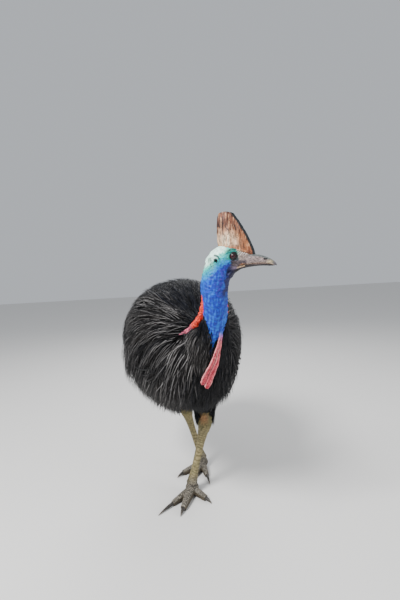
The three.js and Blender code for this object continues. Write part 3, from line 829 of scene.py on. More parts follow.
        lay((40, 192, 180), smooth(13, 24, over + 4 * fine) * smooth(6, 20, y))
        lay((218, 255, 240), smooth(24, 38, over + 3 * fine) * smooth(14, 26, y))
        side = smooth(14, 22, x)
        around = np.hypot(y - 1, z - 2)
        lay((0, 132, 124), smooth(26, 15, around + 3 * wave) * side * smooth(-13, -8, z))
        lay((8, 74, 54), hill(around, 16.5, 3.4) * smooth(4, 10, z) * smooth(-1.0, 0.2, fine) * 0.95)
        lay((112, 206, 170), hill(around, 23, 2.4) * smooth(6, 14, z) * side * 0.7)
        lay((10, 70, 44), smooth(15, 20, z + 0.3 * y) * hill(y, -6, 13) * side * 0.8)
        lores = smooth(-9, -18, y + 2.6 * fine) * smooth(-34, -29, z)
        lay((150, 134, 126), lores)
        lay((94, 84, 82), lores * smooth(0.1, 0.9, fine) * 0.7)
        lay((206, 196, 190), lores * smooth(0.1, 0.8, lore_ridges(y, z)) * smooth(0, 5, z) * 0.8)
        lay((126, 176, 150), hill(y, -16, 6) * hill(z + 0.3 * y, 6, 5) * side * 0.75)
        lay((22, 54, 62), hill(np.hypot(y + 11, z + 9), 0, 5.5) * side * 0.9)
        below = smooth(10, -2, y + 2.5 * fine) * smooth(-10, -14, z) * smooth(-47, -36, z)
        lay((104, 92, 96), below)
        lay((52, 46, 52), below * smooth(-0.4, 0.6, fine) * 0.8)
        lay((136, 118, 148), below * smooth(-26, -33, z) * 0.8)
        lay((8, 10, 34), below * hill(y, 6, 2.6) * 0.8)
        lay((30, 16, 18), hill(np.hypot(y + 0.5, (z + 10) * 1.2), 0, 6) * side)
        lay((34, 12, 20), hill(np.hypot(y - 3, (z + 18) / 1.3), 0, 5) * side * 0.85)
        lay((8, 9, 11), smooth(13.4, 11.0, np.hypot(y + 2.0, z)) * side)
        # Partly painted shade: dark navy under the jaw.
        lay((8, 8, 44), smooth(-33, -42, z + 0.25 * y) * smooth(24, 8, y) * smooth(-90, -60, z) * 0.92)
        gape = self.gape(y)
        along_gape = smooth(-44, -34, y) * smooth(-5, -13, y)
        lay((150, 96, 52), hill(z, gape + 4.4, 1.7) * hill(y, -25, 8))
        lay((216, 182, 140), hill(z, gape - 1.2, 1.7) * along_gape)
        lay((10, 8, 12), smooth(-3.2, -5.2, z - gape) * smooth(4, -8, y))
        lay((28, 20, 24), hill(z, gape + 1.4, 0.9) * along_gape)
        ear = ear_gap(y, z)
        at_ear = smooth(20, 26, x)
        lay((96, 146, 124), behind_ear(y, z) * at_ear * smooth(-0.9, 0.2, fine) * 0.9)
        lay((22, 80, 70), behind_ear(y, z) * at_ear * smooth(0.0, 0.8, ripple(head, 5, 38)) * 0.9)
        lay((236, 252, 244), hill(ear, 8.6, 1.4) * smooth(-10, -3, z) * at_ear * 0.6)
        lay((6, 58, 52), smooth(0.15, 0.6, ear_fold(y, z)) * at_ear * 0.9)
        # Painted shade: the ear's hollow darkened, dark teal round it and near black in the opening.
        lay((4, 44, 42), smooth(8.4, 5.0, ear + 2.2 * fine) * at_ear * 0.8)
        lay((4, 14, 16), smooth(5.6, 3.4, ear + 0.8 * fine) * at_ear)
        nape = smooth(0.44, 0.52, t) * smooth(90, 80, np.abs(angle))
        lay(mix(colour(222, 70, 30), colour(150, 34, 26), smooth(-0.5, 0.7, wave)[:, None]), nape)
        lay((10, 9, 10), feathered(t, angle))
        strip = where["strip"]
        red = mix(colour(236, 52, 26), colour(196, 96, 128), smooth(-470, -400, points[:, 1])[:, None])
        lay(red, strip)
        lay((246, 128, 92), strip * smooth(0.3, 1.1, fine) * 0.6)
        lay((110, 8, 14), strip * smooth(0.0, 0.9, ripple(points, 5, 39)) * 0.8)
        hang = where["wattle"]
        pinks = mix(colour(214, 84, 98), colour(152, 34, 52), smooth(-0.4, 0.7, fine + 0.5 * wave)[:, None])
        lay(pinks, hang)
        lay((150, 24, 42), hang * smooth(0.5, 0.1, where["across"]) * 0.5)
        lay((244, 162, 160), hang * smooth(0.58, 0.92, where["across"] + 0.08 * fine) * 0.85)
        # Painted shade: dark red in the groove between the two lappets.
        lay((84, 2, 16), where["groove"] * 1.5)
        return tint.values


def lore_ridges(y: Array, z: Array) -> Array:
    """The fine slanting ridges before the eye, from -1 to 1: a sine across their direction."""
    return np.sin((y * 0.8 + z * 0.6) * 1.15)


def behind_ear(y: Array, z: Array) -> Array:
    """How much a place of the head's frame is wrinkled grey-green skin, behind and below the ear."""
    upper = hill(np.hypot((y - 69) / 1.3, z + 7), 0, 8)
    return np.maximum(upper, hill(np.hypot(y - 60, (z + 22) / 1.6), 0, 7.5))


def ear_gap(y: Array, z: Array) -> Array:
    """The distance from the ear's middle, in the head's frame."""
    return np.hypot(y - 48.5, z + 11)


def ear_fold(y: Array, z: Array) -> Array:
    """How much a place is on the fold over the ear: an arc that opens out from the front to the rear."""
    turn = np.degrees(np.arctan2(z + 11, 48.5 - y))
    fold = hill(ear_gap(y, z) - 11 - 0.055 * (turn - 22), 0, 2.6)
    return fold * smooth(4, 24, turn) * smooth(120, 98, turn)


@dataclass
class Eyes:
    """The two eyes: a wet ball with a dark iris, and the lids that hold it.

    Attributes:
        offset: From the head's middle to each ball's middle.
        radius: The ball's radius.
        iris: The iris's radius.
        pupil: The pupil's radius.
        opening: Half the width of the gap between the lids.
    """

    offset: float = 21.0
    radius: float = 11.5
    iris: float = 6.9
    pupil: float = 2.7
    opening: float = 6.5

    def ball(self, side: Side) -> Object:
        """A ball round the axis of sight, with rings that close up towards the front."""
        reach, turn = rings_of(np.linspace(0.002, 1, 48) ** 1.4 * np.pi, 48)
        across = np.sin(reach) * self.radius
        out = side.value * (self.offset + np.cos(reach) * self.radius)
        sway = -side.value * np.cos(turn) * across
        points = np.stack([out, sway, np.sin(turn) * across], -1)
        piece, local = HeadPlace.piece("eye_" + side.word + "_ball", points[:, ::-1])
        gap = np.hypot(local[:, 1], local[:, 2])
        front = np.abs(local[:, 0]) > self.offset
        tint = Tint(len(local), 30, 22, 22)
        rays = 0.5 + 0.5 * np.sin(np.arctan2(local[:, 2], local[:, 1]) * 46 + 3 * gap)
        iris = mix(colour(66, 22, 32), colour(34, 10, 16), rays[:, None])
        tint.lay(iris, smooth(self.iris + 0.3, self.iris - 0.3, gap) * front)
        tint.lay((4, 3, 4), smooth(self.pupil + 0.25, self.pupil - 0.25, gap) * front)
        paint(piece, tint.values)
        return place(piece, WET_EYE, "eyeball", "eye_" + side.word)

    def lids(self, side: Side) -> Object:
        """The lids: a ring round the axis of sight, from the gap's edge over a rounded rim into the skin."""
        share, turn = rings_of(np.linspace(0, 1, 22), 96)
        droop = 1 - 0.14 * np.maximum(0, np.sin(turn)) ** 2 - 0.02 * np.maximum(0, -np.sin(turn)) ** 2
        corner = 1 + 0.16 * np.maximum(0, -np.cos(turn)) ** 8 + 0.08 * np.maximum(0, np.cos(turn)) ** 8
        gap = mix(self.opening * droop * corner, 12.6, share**1.15)
        over = np.sqrt(np.maximum(self.radius**2 - np.minimum(gap, 10.5) ** 2, 1))
        rim = 0.35 + 1.2 * np.sin(np.clip(share * 2.4, 0, 1) * np.pi * 0.62)
        wrinkle = 0.22 * np.sin(share * 26 + 0.6 * np.sin(turn * 5))
        height = self.offset + over + rim + wrinkle * smooth(0.1, 0.3, share)
        height = mix(height, 28.4 - 0.02 * gap, smooth(0.42, 1.0, share))
        height = np.vstack([height[:1] - 2.2, height])
        gap = np.vstack([gap[:1] + 0.4, gap])
        turn = np.vstack([turn[:1], turn])
        sway = -side.value * np.cos(turn) * gap
        points, (ring, _) = shell_over(np.stack([side.value * height, sway, np.sin(turn) * gap], -1))
        piece = new_piece("eyelids_" + side.word, HeadPlace.shell((points[:-2], [ring])))
        paint_plain(piece, 4, 5, 6)
        return place(piece, BARE_SKIN, "pale_skin")

    def build(self) -> None:
        """Both eyes with their lids."""
        for side in Side:
            self.ball(side)
            self.lids(side)


@dataclass
class Casque:
    """The tall helmet on the crown: a horny keel with a steep rear and a long front slope.

    Attributes:
        front: The front edge's outline, as y and z in the head's frame, from the foot up.
        rear: The rear edge's outline, the same way.
        half_width: Half its width at the foot.
    """

    front: tuple[tuple[float, float], ...] = (
        (-64, -8), (-61.5, 4), (-56, 23), (-44, 52), (-28, 84), (-9.5, 113), (-1, 125), (14, 130),
    )
    rear: tuple[tuple[float, float], ...] = (
        (42, -8), (46, 20), (48, 35), (49.5, 62), (49.5, 85), (47.5, 109), (42, 127), (28, 131),
    )
    half_width: float = 24.0

    def build(self) -> Object:
        """Rings from the front edge to the rear and back, narrower to the front and towards the top."""
        s, angle = rings_of(np.linspace(0, 1, 130), 120)
        edge = [
            along_curve(np.array([(0, y, z) for y, z in outline], float), s, centripetal=True)
            for outline in (self.front, self.rear)
        ]
        half = self.half_width * mix(1, 0.3, s**0.9) * (1 - 0.5 * smooth(0.9, 1, s))
        reach = (1 - np.cos(angle)) / 2
        points = mix(edge[0], edge[1], reach[..., None])
        points[..., 0] = half * np.sin(angle) * mix(0.62, 1, smooth(0, 0.45, reach))
        cast = np.sign(np.sin(angle)) * np.minimum(1, np.abs(points[..., 0]) / 4)
        flutes = ripple(points * np.array([1, 1, 0.16]), 9, 41) * 0.5
        flutes += ripple(points * np.array([1, 1, 0.12]), 4.5, 42) * 0.28
        sag = -2.4 * hill(reach, 0.34, 0.18) * smooth(0.1, 0.3, s) * smooth(0.95, 0.6, s)
        points[..., 0] += cast * (flutes * smooth(0, 0.08, s) + sag + 1.1 * ripple(points, 42, 43))
        points[..., 1] += 0.4 * ripple(points, 11, 44) * smooth(0.02, 0.1, s)
        foot = np.interp(points[..., 1], [-64, -52, -32, -20, -8, 45], [4, 6, 10, 14, 15, 20])
        tuck = smooth(3, -5, points[..., 2] - foot) * smooth(-6, -18, points[..., 1])
        points[..., 0] *= 1 - 0.5 * tuck
        piece, local = HeadPlace.piece("casque_horn", points)
        chord = np.linalg.norm(edge[1] - edge[0], axis=-1)
        keel = np.append((reach * chord).ravel(), [99, 99])
        paint(piece, self.markings(local, np.append(reach.ravel(), [0.5, 0.5]), keel))
        return place(piece, CASQUE_HORN, "casque_horn", "casque")

    def markings(self, local: Array, reach: Array, keel: Array) -> Array:
        """Brown horn: a cream patch low in the middle, upright streaks, painted shade along the front edge
        and a pale foot.

        Args:
            local: The points in the head's frame.
            reach: Each point's share of the way from the front edge to the rear.
            keel: Its distance from the front edge.

        Returns:
            The tint at each point.
        """
        y, z = local[:, 1], local[:, 2]
        drawn = local * np.array([1, 1, 0.14])
        streak = ripple(drawn, 7, 51)
        fine = ripple(drawn, 3.2, 52)
        blotch = ripple(local, 26, 53)
        tint = Tint(len(local), 152, 100, 66)
        lay = tint.lay
        lay((104, 58, 42), smooth(62, 100, z + 8 * blotch) * 0.85)
        cream = smooth(26, 38, z) * smooth(88, 52, z + 8 * blotch)
        lay((214, 176, 140), cream * smooth(0.22, 0.5, reach) * 0.85)
        pale = smooth(24, 36, z) * smooth(78, 48, z) * hill(reach, 0.66, 0.24)
        lay((240, 220, 190), pale * smooth(-0.3, 0.6, streak))
        lay((146, 86, 50), smooth(0.46, 0.2, reach) * smooth(92, 56, z) * 0.75)
        lay((50, 26, 20), smooth(0.3, 0.9, streak + 0.7 * fine) * mix(0.55, 1.0, smooth(46, 86, z)))
        lay((150, 50, 52), hill(z, 12, 12) * hill(keel, 22, 11) * smooth(-40, -50, y) * 0.55)
        lay((232, 180, 134), smooth(0.4, 1.1, -streak + 0.4 * blotch) * 0.7)
        lay((70, 42, 38), smooth(0.8, 1.5, fine - streak) * 0.6)
        seat = np.interp(y, [-90, -42, -12, 60], [-6, 3, 14, 25])
        lay((232, 196, 156), smooth(7.5, 4.0, z - seat) * smooth(-34, -14, y) * 0.85)
        lay((180, 104, 62), hill(z - seat, 8.5, 2.2) * smooth(-40, -20, y) * 0.55)
        # Painted shade: a near-black band along the front edge.
        lay((8, 18, 24), smooth(8.8, 6.6, keel + 0.6 * fine))
        return tint.values


@dataclass
class Bill:
    """The bill's two halves, with nostrils, a culmen and a pale cutting edge.

    Attributes:
        upper: The upper half's tube, in the head's frame.
        lower: The lower half's tube.
        nostril: The nostril's middle, along and up in the head's frame.
        nostril_half: Half its length and half its height.
    """

    upper: Tube = Tube(
        (
            (0, -30, -14, 17.5, 22, 17),
            (0, -40, -14, 16.5, 20, 15),
            (0, -62, -13.5, 13, 17, 12),
            (0, -83, -16, 10, 14, 9.5),
            (0, -102, -20, 7, 8.5, 8),
            (0, -114, -25.5, 4.2, 4.6, 5),
            (0, -120.5, -31, 0.8, 1, 1),
        ),
        (-1, 0, 0),
    )
    lower: Tube = Tube(
        (
            (0, -30, -26.8, 14, 1, 7),
            (0, -60, -24, 10.5, 0.8, 6.6),
            (0, -84, -24.2, 8, 0.8, 6),
            (0, -104, -27.5, 5, 0.6, 4),
            (0, -114, -30, 1.5, 0.4, 1),
        ),
        (-1, 0, 0),
    )
    nostril: tuple[float, float] = (-90.0, -12.0)
    nostril_half: tuple[float, float] = (6.5, 2.1)

    def build(self) -> None:
        """Both halves. The upper is flattened below onto the lower, and its edge is drawn in."""
        points = self.upper.point(*self.upper.grid(140, 90))
        x, y, z = np.moveaxis(points, -1, 0)
        floor = self.cutting_edge(y)
        z[:] = np.where(z < floor, mix(z, floor, 0.9), z)
        side, near = np.sign(x), self.nostril_gap(points)
        x -= side * 2.6 * smooth(1.25, 0.4, near)
        x += side * 0.7 * hill(near, 1.55, 0.35)
        x -= side * 0.9 * hill(z, -12.5 - 0.13 * (y + 60), 2.0) * smooth(-94, -80, y)
        points += (0.18 * ripple(points, 7, 61) * smooth(-119, -110, y))[..., None]
        self.half("upper", points)
        points = self.lower.point(*self.lower.grid(80, 56))
        self.half("lower", points + 0.15 * ripple(points, 6, 62)[..., None])

    def half(self, word: str, points: Array) -> None:
        """One half as a piece, painted."""
        piece, local = HeadPlace.piece(f"bill_{word}_horn", points)
        paint(piece, self.markings(local, word == "upper"))
        place(piece, BILL_HORN, "bill_horn", "bill_" + word)

    @staticmethod
    def cutting_edge(y: Array) -> Array:
        """The height of the upper half's edge in the head's frame."""
        return np.interp(y, [-122, -114, -104, -84, -60, -30], [-31.4, -29.2, -26.6, -23.2, -23.0, -25.8])

    def nostril_gap(self, points: Array) -> Array:
        """How far points of the head's frame are from the nostril's middle, 1 at its rim."""
        along, up = points[..., 1] - self.nostril[0], points[..., 2] - self.nostril[1]
        return np.hypot(along / self.nostril_half[0], up / self.nostril_half[1])

    def markings(self, local: Array, is_upper: bool) -> Array:
        """Grey-brown horn, darker along the culmen, with painted shade along the under edge and a pale
        cutting edge.

        Args:
            local: The points in the head's frame.
            is_upper: Whether this is the upper half.

        Returns:
            The tint at each point.
        """
        y, z = local[:, 1], local[:, 2]
        wave = ripple(local, 12, 63)
        fine = ripple(local * np.array([1, 0.35, 1]), 3.4, 64)
        tint = Tint(len(local), 134, 118, 114)
        lay = tint.lay
        lay((94, 84, 86), smooth(0.1, 1.0, fine + 0.5 * wave))
        lay((168, 148, 146), smooth(0.2, 1.0, -fine) * 0.5)
        if is_upper:
            top = np.interp(y, [-120, -102, -83, -62, -40, -30], [-30, -12, -2.5, 3, 5.5, 7.5])
            lay((74, 84, 84), smooth(8, 2.5, top - z) * 0.85)
            edge = np.interp(y, [-122, -104, -84, -60, -30], [-31.4, -26.6, -23.2, -23.0, -25.8])
            lay((190, 160, 134), smooth(4.2, 1.2, z - edge) * smooth(-118, -104, y) * 0.45)
            lay((206, 186, 140), hill(np.hypot((y + 102) / 1.6, z + 20), 0, 5) * 0.6)
            # Painted shade: the nostril's opening near black.
            lay((24, 20, 24), smooth(1.15, 0.75, self.nostril_gap(local)))
            lay((84, 76, 82), smooth(-106, -117, y) * 0.8)
        else:
            # Painted shade: the lower half's underside near black.
            lay((20, 18, 26), smooth(-23.5, -26.5, z) * 0.95)
            lay((96, 66, 56), smooth(-26.0, -24.0, z) * smooth(-100, -70, y) * 0.5)
        return tint.values


@dataclass(frozen=True)
class Toe:
    """A toe: where it heads, from -Y towards +X in degrees, its length, its claw's length and its sizes."""

    heading: float
    length: float
    claw: float
    root: float
    tip: float


@dataclass
class Leg:
    """One leg: the scaled shank and foot fused as one skin, and three claws.

    Attributes:
        side: Which leg.
        hip: The hip's place.
        hock: The hock's place.
        joint: The foot joint's place.
        toes: The toes by name.
        knuckle: The radius of the ball at the foot joint.
        scute: A scute's length.
        voxel: The size of the skin's grid.
    """

    side: Side
    hip: Place
    hock: Place
    joint: Place
    toes: dict[str, Toe]
    knuckle: float = 29.0
    scute: float = 9.5
    voxel: float = 1.85

    def chain(self, *rows: tuple[str, str, float, float, float, float]) -> Tube:
        """A tube through places of the leg: the names of two, a share of the way between, and the sizes."""
        places = {name: np.array(getattr(self, name), float) for name in ("hip", "hock", "joint")}
        return Tube(tuple((*mix(places[a], places[b], share), *sizes) for a, b, share, *sizes in rows))

    def thigh(self) -> Tube:
        """The thigh's tube, from the hip to the hock."""
        return self.chain(
            ("hip", "hock", 0, 66, 84, 88),
            ("hip", "hock", 0.45, 54, 68, 72),
            ("hip", "hock", 0.8, 38, 46, 44),
            ("hip", "hock", 1, 30, 34, 32),
        )

    def shank(self) -> Tube:
        """The shank's tube, from over the hock to the foot joint."""
        return self.chain(
            ("hock", "hip", 0.25, 29, 33, 30),
            ("hock", "joint", 0, 30, 33, 30),
            ("hock", "joint", 0.16, 21, 25, 23),
            ("hock", "joint", 0.4, 15.5, 19, 18),
            ("hock", "joint", 0.75, 15.5, 19, 18),
            ("hock", "joint", 0.93, 21, 21, 21),
            ("hock", "joint", 1, 25, 23, 23),
        )

    def along_toe(self, toe: Toe, *rows: tuple[float, float, float, float, float]) -> Tube:
        """A tube along a toe: how far out from the foot joint, how high over the floor, and the sizes."""
        turn = np.radians(toe.heading)
        way = np.array([np.sin(turn), -np.cos(turn), 0.0])
        foot = np.array([self.joint[0], self.joint[1], 0.0])
        stations = tuple((*(foot + way * out + np.array([0, 0, high])), *sizes) for out, high, *sizes in rows)
        return Tube(stations, (way[1], -way[0], 0.0))

    def toe_tube(self, toe: Toe) -> Tube:
        """The toe's tube, with a pad under each bone."""
        root, tip, middle = toe.root, toe.tip, (toe.root + toe.tip) / 2
        return self.along_toe(
            toe,
            (0, root + 4, root, root, root + 4),
            (toe.length * 0.35, root - 1, root * 0.92, root, root),
            (toe.length * 0.7, middle, middle, middle, middle + 1),
            (toe.length + 2, tip + 1, tip, tip + 1, tip + 2),
        )

    def claw_tube(self, toe: Toe) -> Tube:
        """The claw's tube, slightly arched down to its point."""
        tip = toe.tip
        return self.along_toe(
            toe,
            (toe.length - 6, tip + 2, tip * 0.7, tip * 0.78, tip * 0.78),
            (toe.length - 3, tip + 2, tip * 0.72, tip * 0.8, tip * 0.8),
            (toe.length + toe.claw * 0.35, tip + 1, tip * 0.55, tip * 0.62, tip * 0.62),
            (toe.length + toe.claw * 0.75, tip * 0.7, tip * 0.3, tip * 0.36, tip * 0.36),
            (toe.length + toe.claw, 2.4, 0.9, 1, 1),
        )

    def build(self) -> None:
        """The skin with its scutes, and the claws."""
        shank, toes = self.shank(), {name: self.toe_tube(toe) for name, toe in self.toes.items()}
        x, y, _ = self.joint
        ball = (-1, 0.05), (-0.8, 0.6), (-0.4, 0.92), (0, 1), (0.4, 0.92), (0.8, 0.6), (1, 0.05)
        knuckle = Tube(tuple((x, y, 26 + 27 * h, *[self.knuckle * w] * 3) for h, w in ball))
        shells = [shank.shell(60, 36), knuckle.shell(24, 30)]
        shells += [tube.shell(30, 28) for tube in toes.values()]
        piece = fused("skin_leg_" + self.side.word, shells, self.voxel, 4)
        points, normals = points_of(piece)
        points, tint = self.scaled(points, normals, shank, list(toes.values()))
        points[:, 2] = np.maximum(points[:, 2], 0.4)
        set_points(piece, points)
        paint(piece, tint)
        place(piece, LEG_SCALES, "leg_scale", "shank_" + self.side.word, "foot_" + self.side.word)
        for name, toe in self.toes.items():
            self.claw(name, toe)

    def scaled(self, points: Array, normals: Array, shank: Tube, toes: list[Tube]) -> tuple[Array, Array]:
        """Raises broad scutes down the shank's front and along each toe's top, and paints the skin.

        A scute is a level plate between two narrow grooves, so the lift is one less a bell curve round
        each groove.

        Args:
            points: The skin's points.
            normals: The normals there.
            shank: The shank's tube.
            toes: The toes' tubes.

        Returns:
            The moved points and the tint at each.
        """
        t, angle, gap = shank.nearest(points)
        height = points[:, 2]
        lift, plates, seams = np.zeros((3, len(points)))
        wave = ripple(points, 34, 71)
        fine = ripple(points, 5, 72)
        length = np.linalg.norm(np.array(self.joint) - np.array(self.hock)) * 1.15
        for tube, share, turn, reach, run, facing in [
            (shank, t, angle, gap, length, np.pi),
            *((toe, *toe.nearest(points, 60), 130.0, 0.0) for toe in toes),
        ]:
            place_in = share * run / self.scute + 0.15 * np.sin(turn * 2) + 0.2 * wave
            beat = np.abs(place_in - np.round(place_in))
            plate = 1 - hill(beat, 0, 0.19)
            front = smooth(0.35, 0.75, np.cos(turn - facing))
            size = tube.size(share)
            near = smooth(1.5, 1.15, reach / size)
            if tube is shank:
                near *= smooth(0.1, 0.3, share) * smooth(30, 46, height)
            plates = np.maximum(plates, plate * front * near)
            seams = np.maximum(seams, smooth(0.5, 0.1, plate) * front * near)
            lift = np.maximum(lift, (0.3 + 1.3 * plate) * front * near)
        sole = smooth(9, 3, height) * smooth(-0.2, -0.6, normals[:, 2])
        hock = smooth(0.42, 0.2, t) * smooth(250, 280, height)
        lift += 0.35 * fine * (1 - plates) + hock * 0.9 * ripple(points, 11, 73)
        tint = Tint(len(points), 124, 113, 74)
        lay = tint.lay
        lay((88, 90, 58), smooth(0.1, 1.2, wave) * 0.45)
        lay((156, 138, 92), smooth(0.1, 1.1, -wave + 0.3 * fine) * 0.4)
        lay((74, 68, 46), (1 - plates) * smooth(-0.4, 0.9, fine) * 0.4)
        low = smooth(110, 40, height)
        lay((66, 58, 50), low * 0.85)
        lay(mix(colour(150, 138, 100), colour(150, 144, 132), low[:, None]), plates * 0.7)
        lay((36, 32, 30), low * smooth(0.1, 0.8, ripple(points, 11, 74)) * 0.75)
        lay((26, 22, 20), seams * mix(0.5, 0.95, low))
        fore = smooth(0.6, 1.0, np.cos(angle - np.radians(206)))
        warm = 0.75 if self.side is Side.LEFT else 0.25
        lay((92, 86, 48), smooth(296, 330, height + 10 * wave) * 0.6)
        lay((172, 122, 84), hill(height + 6 * fine, 350, 17) * fore * warm)
        lay((66, 58, 46), sole)
        return points + normals * lift[:, None], tint.values

    def claw(self, name: str, toe: Toe) -> Object:
        """A claw: its tube with a groove along each side, paler at the point from wear."""
        tube = self.claw_tube(toe)
        t, angle = tube.grid(48, 24)
        groove = -0.5 * hill(np.abs(np.abs(angle - np.pi) - np.pi / 2), 0.0, 0.22) * smooth(0.98, 0.6, t)
        points = tube.point(t, angle, groove + 0.12 * np.sin(t * 90) * smooth(0.9, 0.2, t))
        points[..., 2] = np.maximum(points[..., 2], 0.5)
        piece = new_piece(f"claw_{self.side.word}_{name}_horn", shell_over(points))
        share = np.append(t.ravel(), [0, 1])
        where = points_of(piece)[0]
        tint = Tint(len(where), 52, 48, 44)
        tint.lay((112, 100, 86), smooth(0.55, 1, share) * 0.8)
        tint.lay((30, 28, 28), smooth(0, 0.9, ripple(where, 9, 75)) * 0.6)
        paint(piece, tint.values)
        return place(piece, CLAW_HORN, "claw_horn", f"claw_{self.side.word}_{name}")


LEGS = {
    Side.LEFT: Leg(
        Side.LEFT, (86, -20, 560), (56, -97, 322), (-8, -73, 48),
        {
            "inner": Toe(-57, 116, 82, 17, 10),
            "middle": Toe(-30, 124, 38, 20, 12),
            "outer": Toe(30, 84, 34, 17, 11),
        },
    ),
    Side.RIGHT: Leg(
        Side.RIGHT, (-104, 30, 560), (10, 84, 322), (88, 122, 48),
        {
            "inner": Toe(-2, 100, 62, 17, 10),
            "middle": Toe(-36, 124, 38, 20, 12),
            "outer": Toe(-66, 116, 36, 17, 11),
        },
    ),
}


@dataclass
class Undercoat:
    """The dark skin of the body and thighs, under the plumage.

    Attributes:
        inset: How far it lies inside the fixed frame's core.
        voxel: The size of its grid.
    """

    inset: float = 3.0
    voxel: float = 8.0

    def build(self) -> Object:
        """The body's and thighs' tubes, fused. A thigh's tube narrows into the shank's."""
        shells = [TORSO.shell(60, 60, -self.inset), NECK.shell(30, 40, -self.inset, 0.9, 1.0)]
        for leg in LEGS.values():
            tube = leg.thigh()
            t, angle = tube.grid(24, 30, 0.0, 0.8)
            shells.append(shell_over(tube.point(t, angle, -self.inset - 12 * smooth(0.6, 0.8, t))))
        piece = fused("skin_body", shells, self.voxel, 2)
        paint_plain(piece, 9, 9, 10)
        return place(piece, UNDERCOAT, "plumage", "torso", "tail", "thigh_left", "thigh_right")


@dataclass(frozen=True)
class Clump:
    """How a tuft's strands lie together, in millimetres.

    Attributes:
        root: How far they spread over the skin at the root.
        tip: How far at the tip.
        deep: How far under the tuft's run its lowest strands lie.
        sink: How far a root goes under the skin.
        width: A strand's width.
    """

    root: float
    tip: float
    deep: float
    sink: float
    width: float


BODY_CLUMP = Clump(14.5, 11, 13.0, 7.0, 2.4)
THIGH_CLUMP = Clump(6, 3, 5, 1.5, 1.9)
NECK_CLUMP = Clump(4.5, 3, 3, 0.5, 1.8)


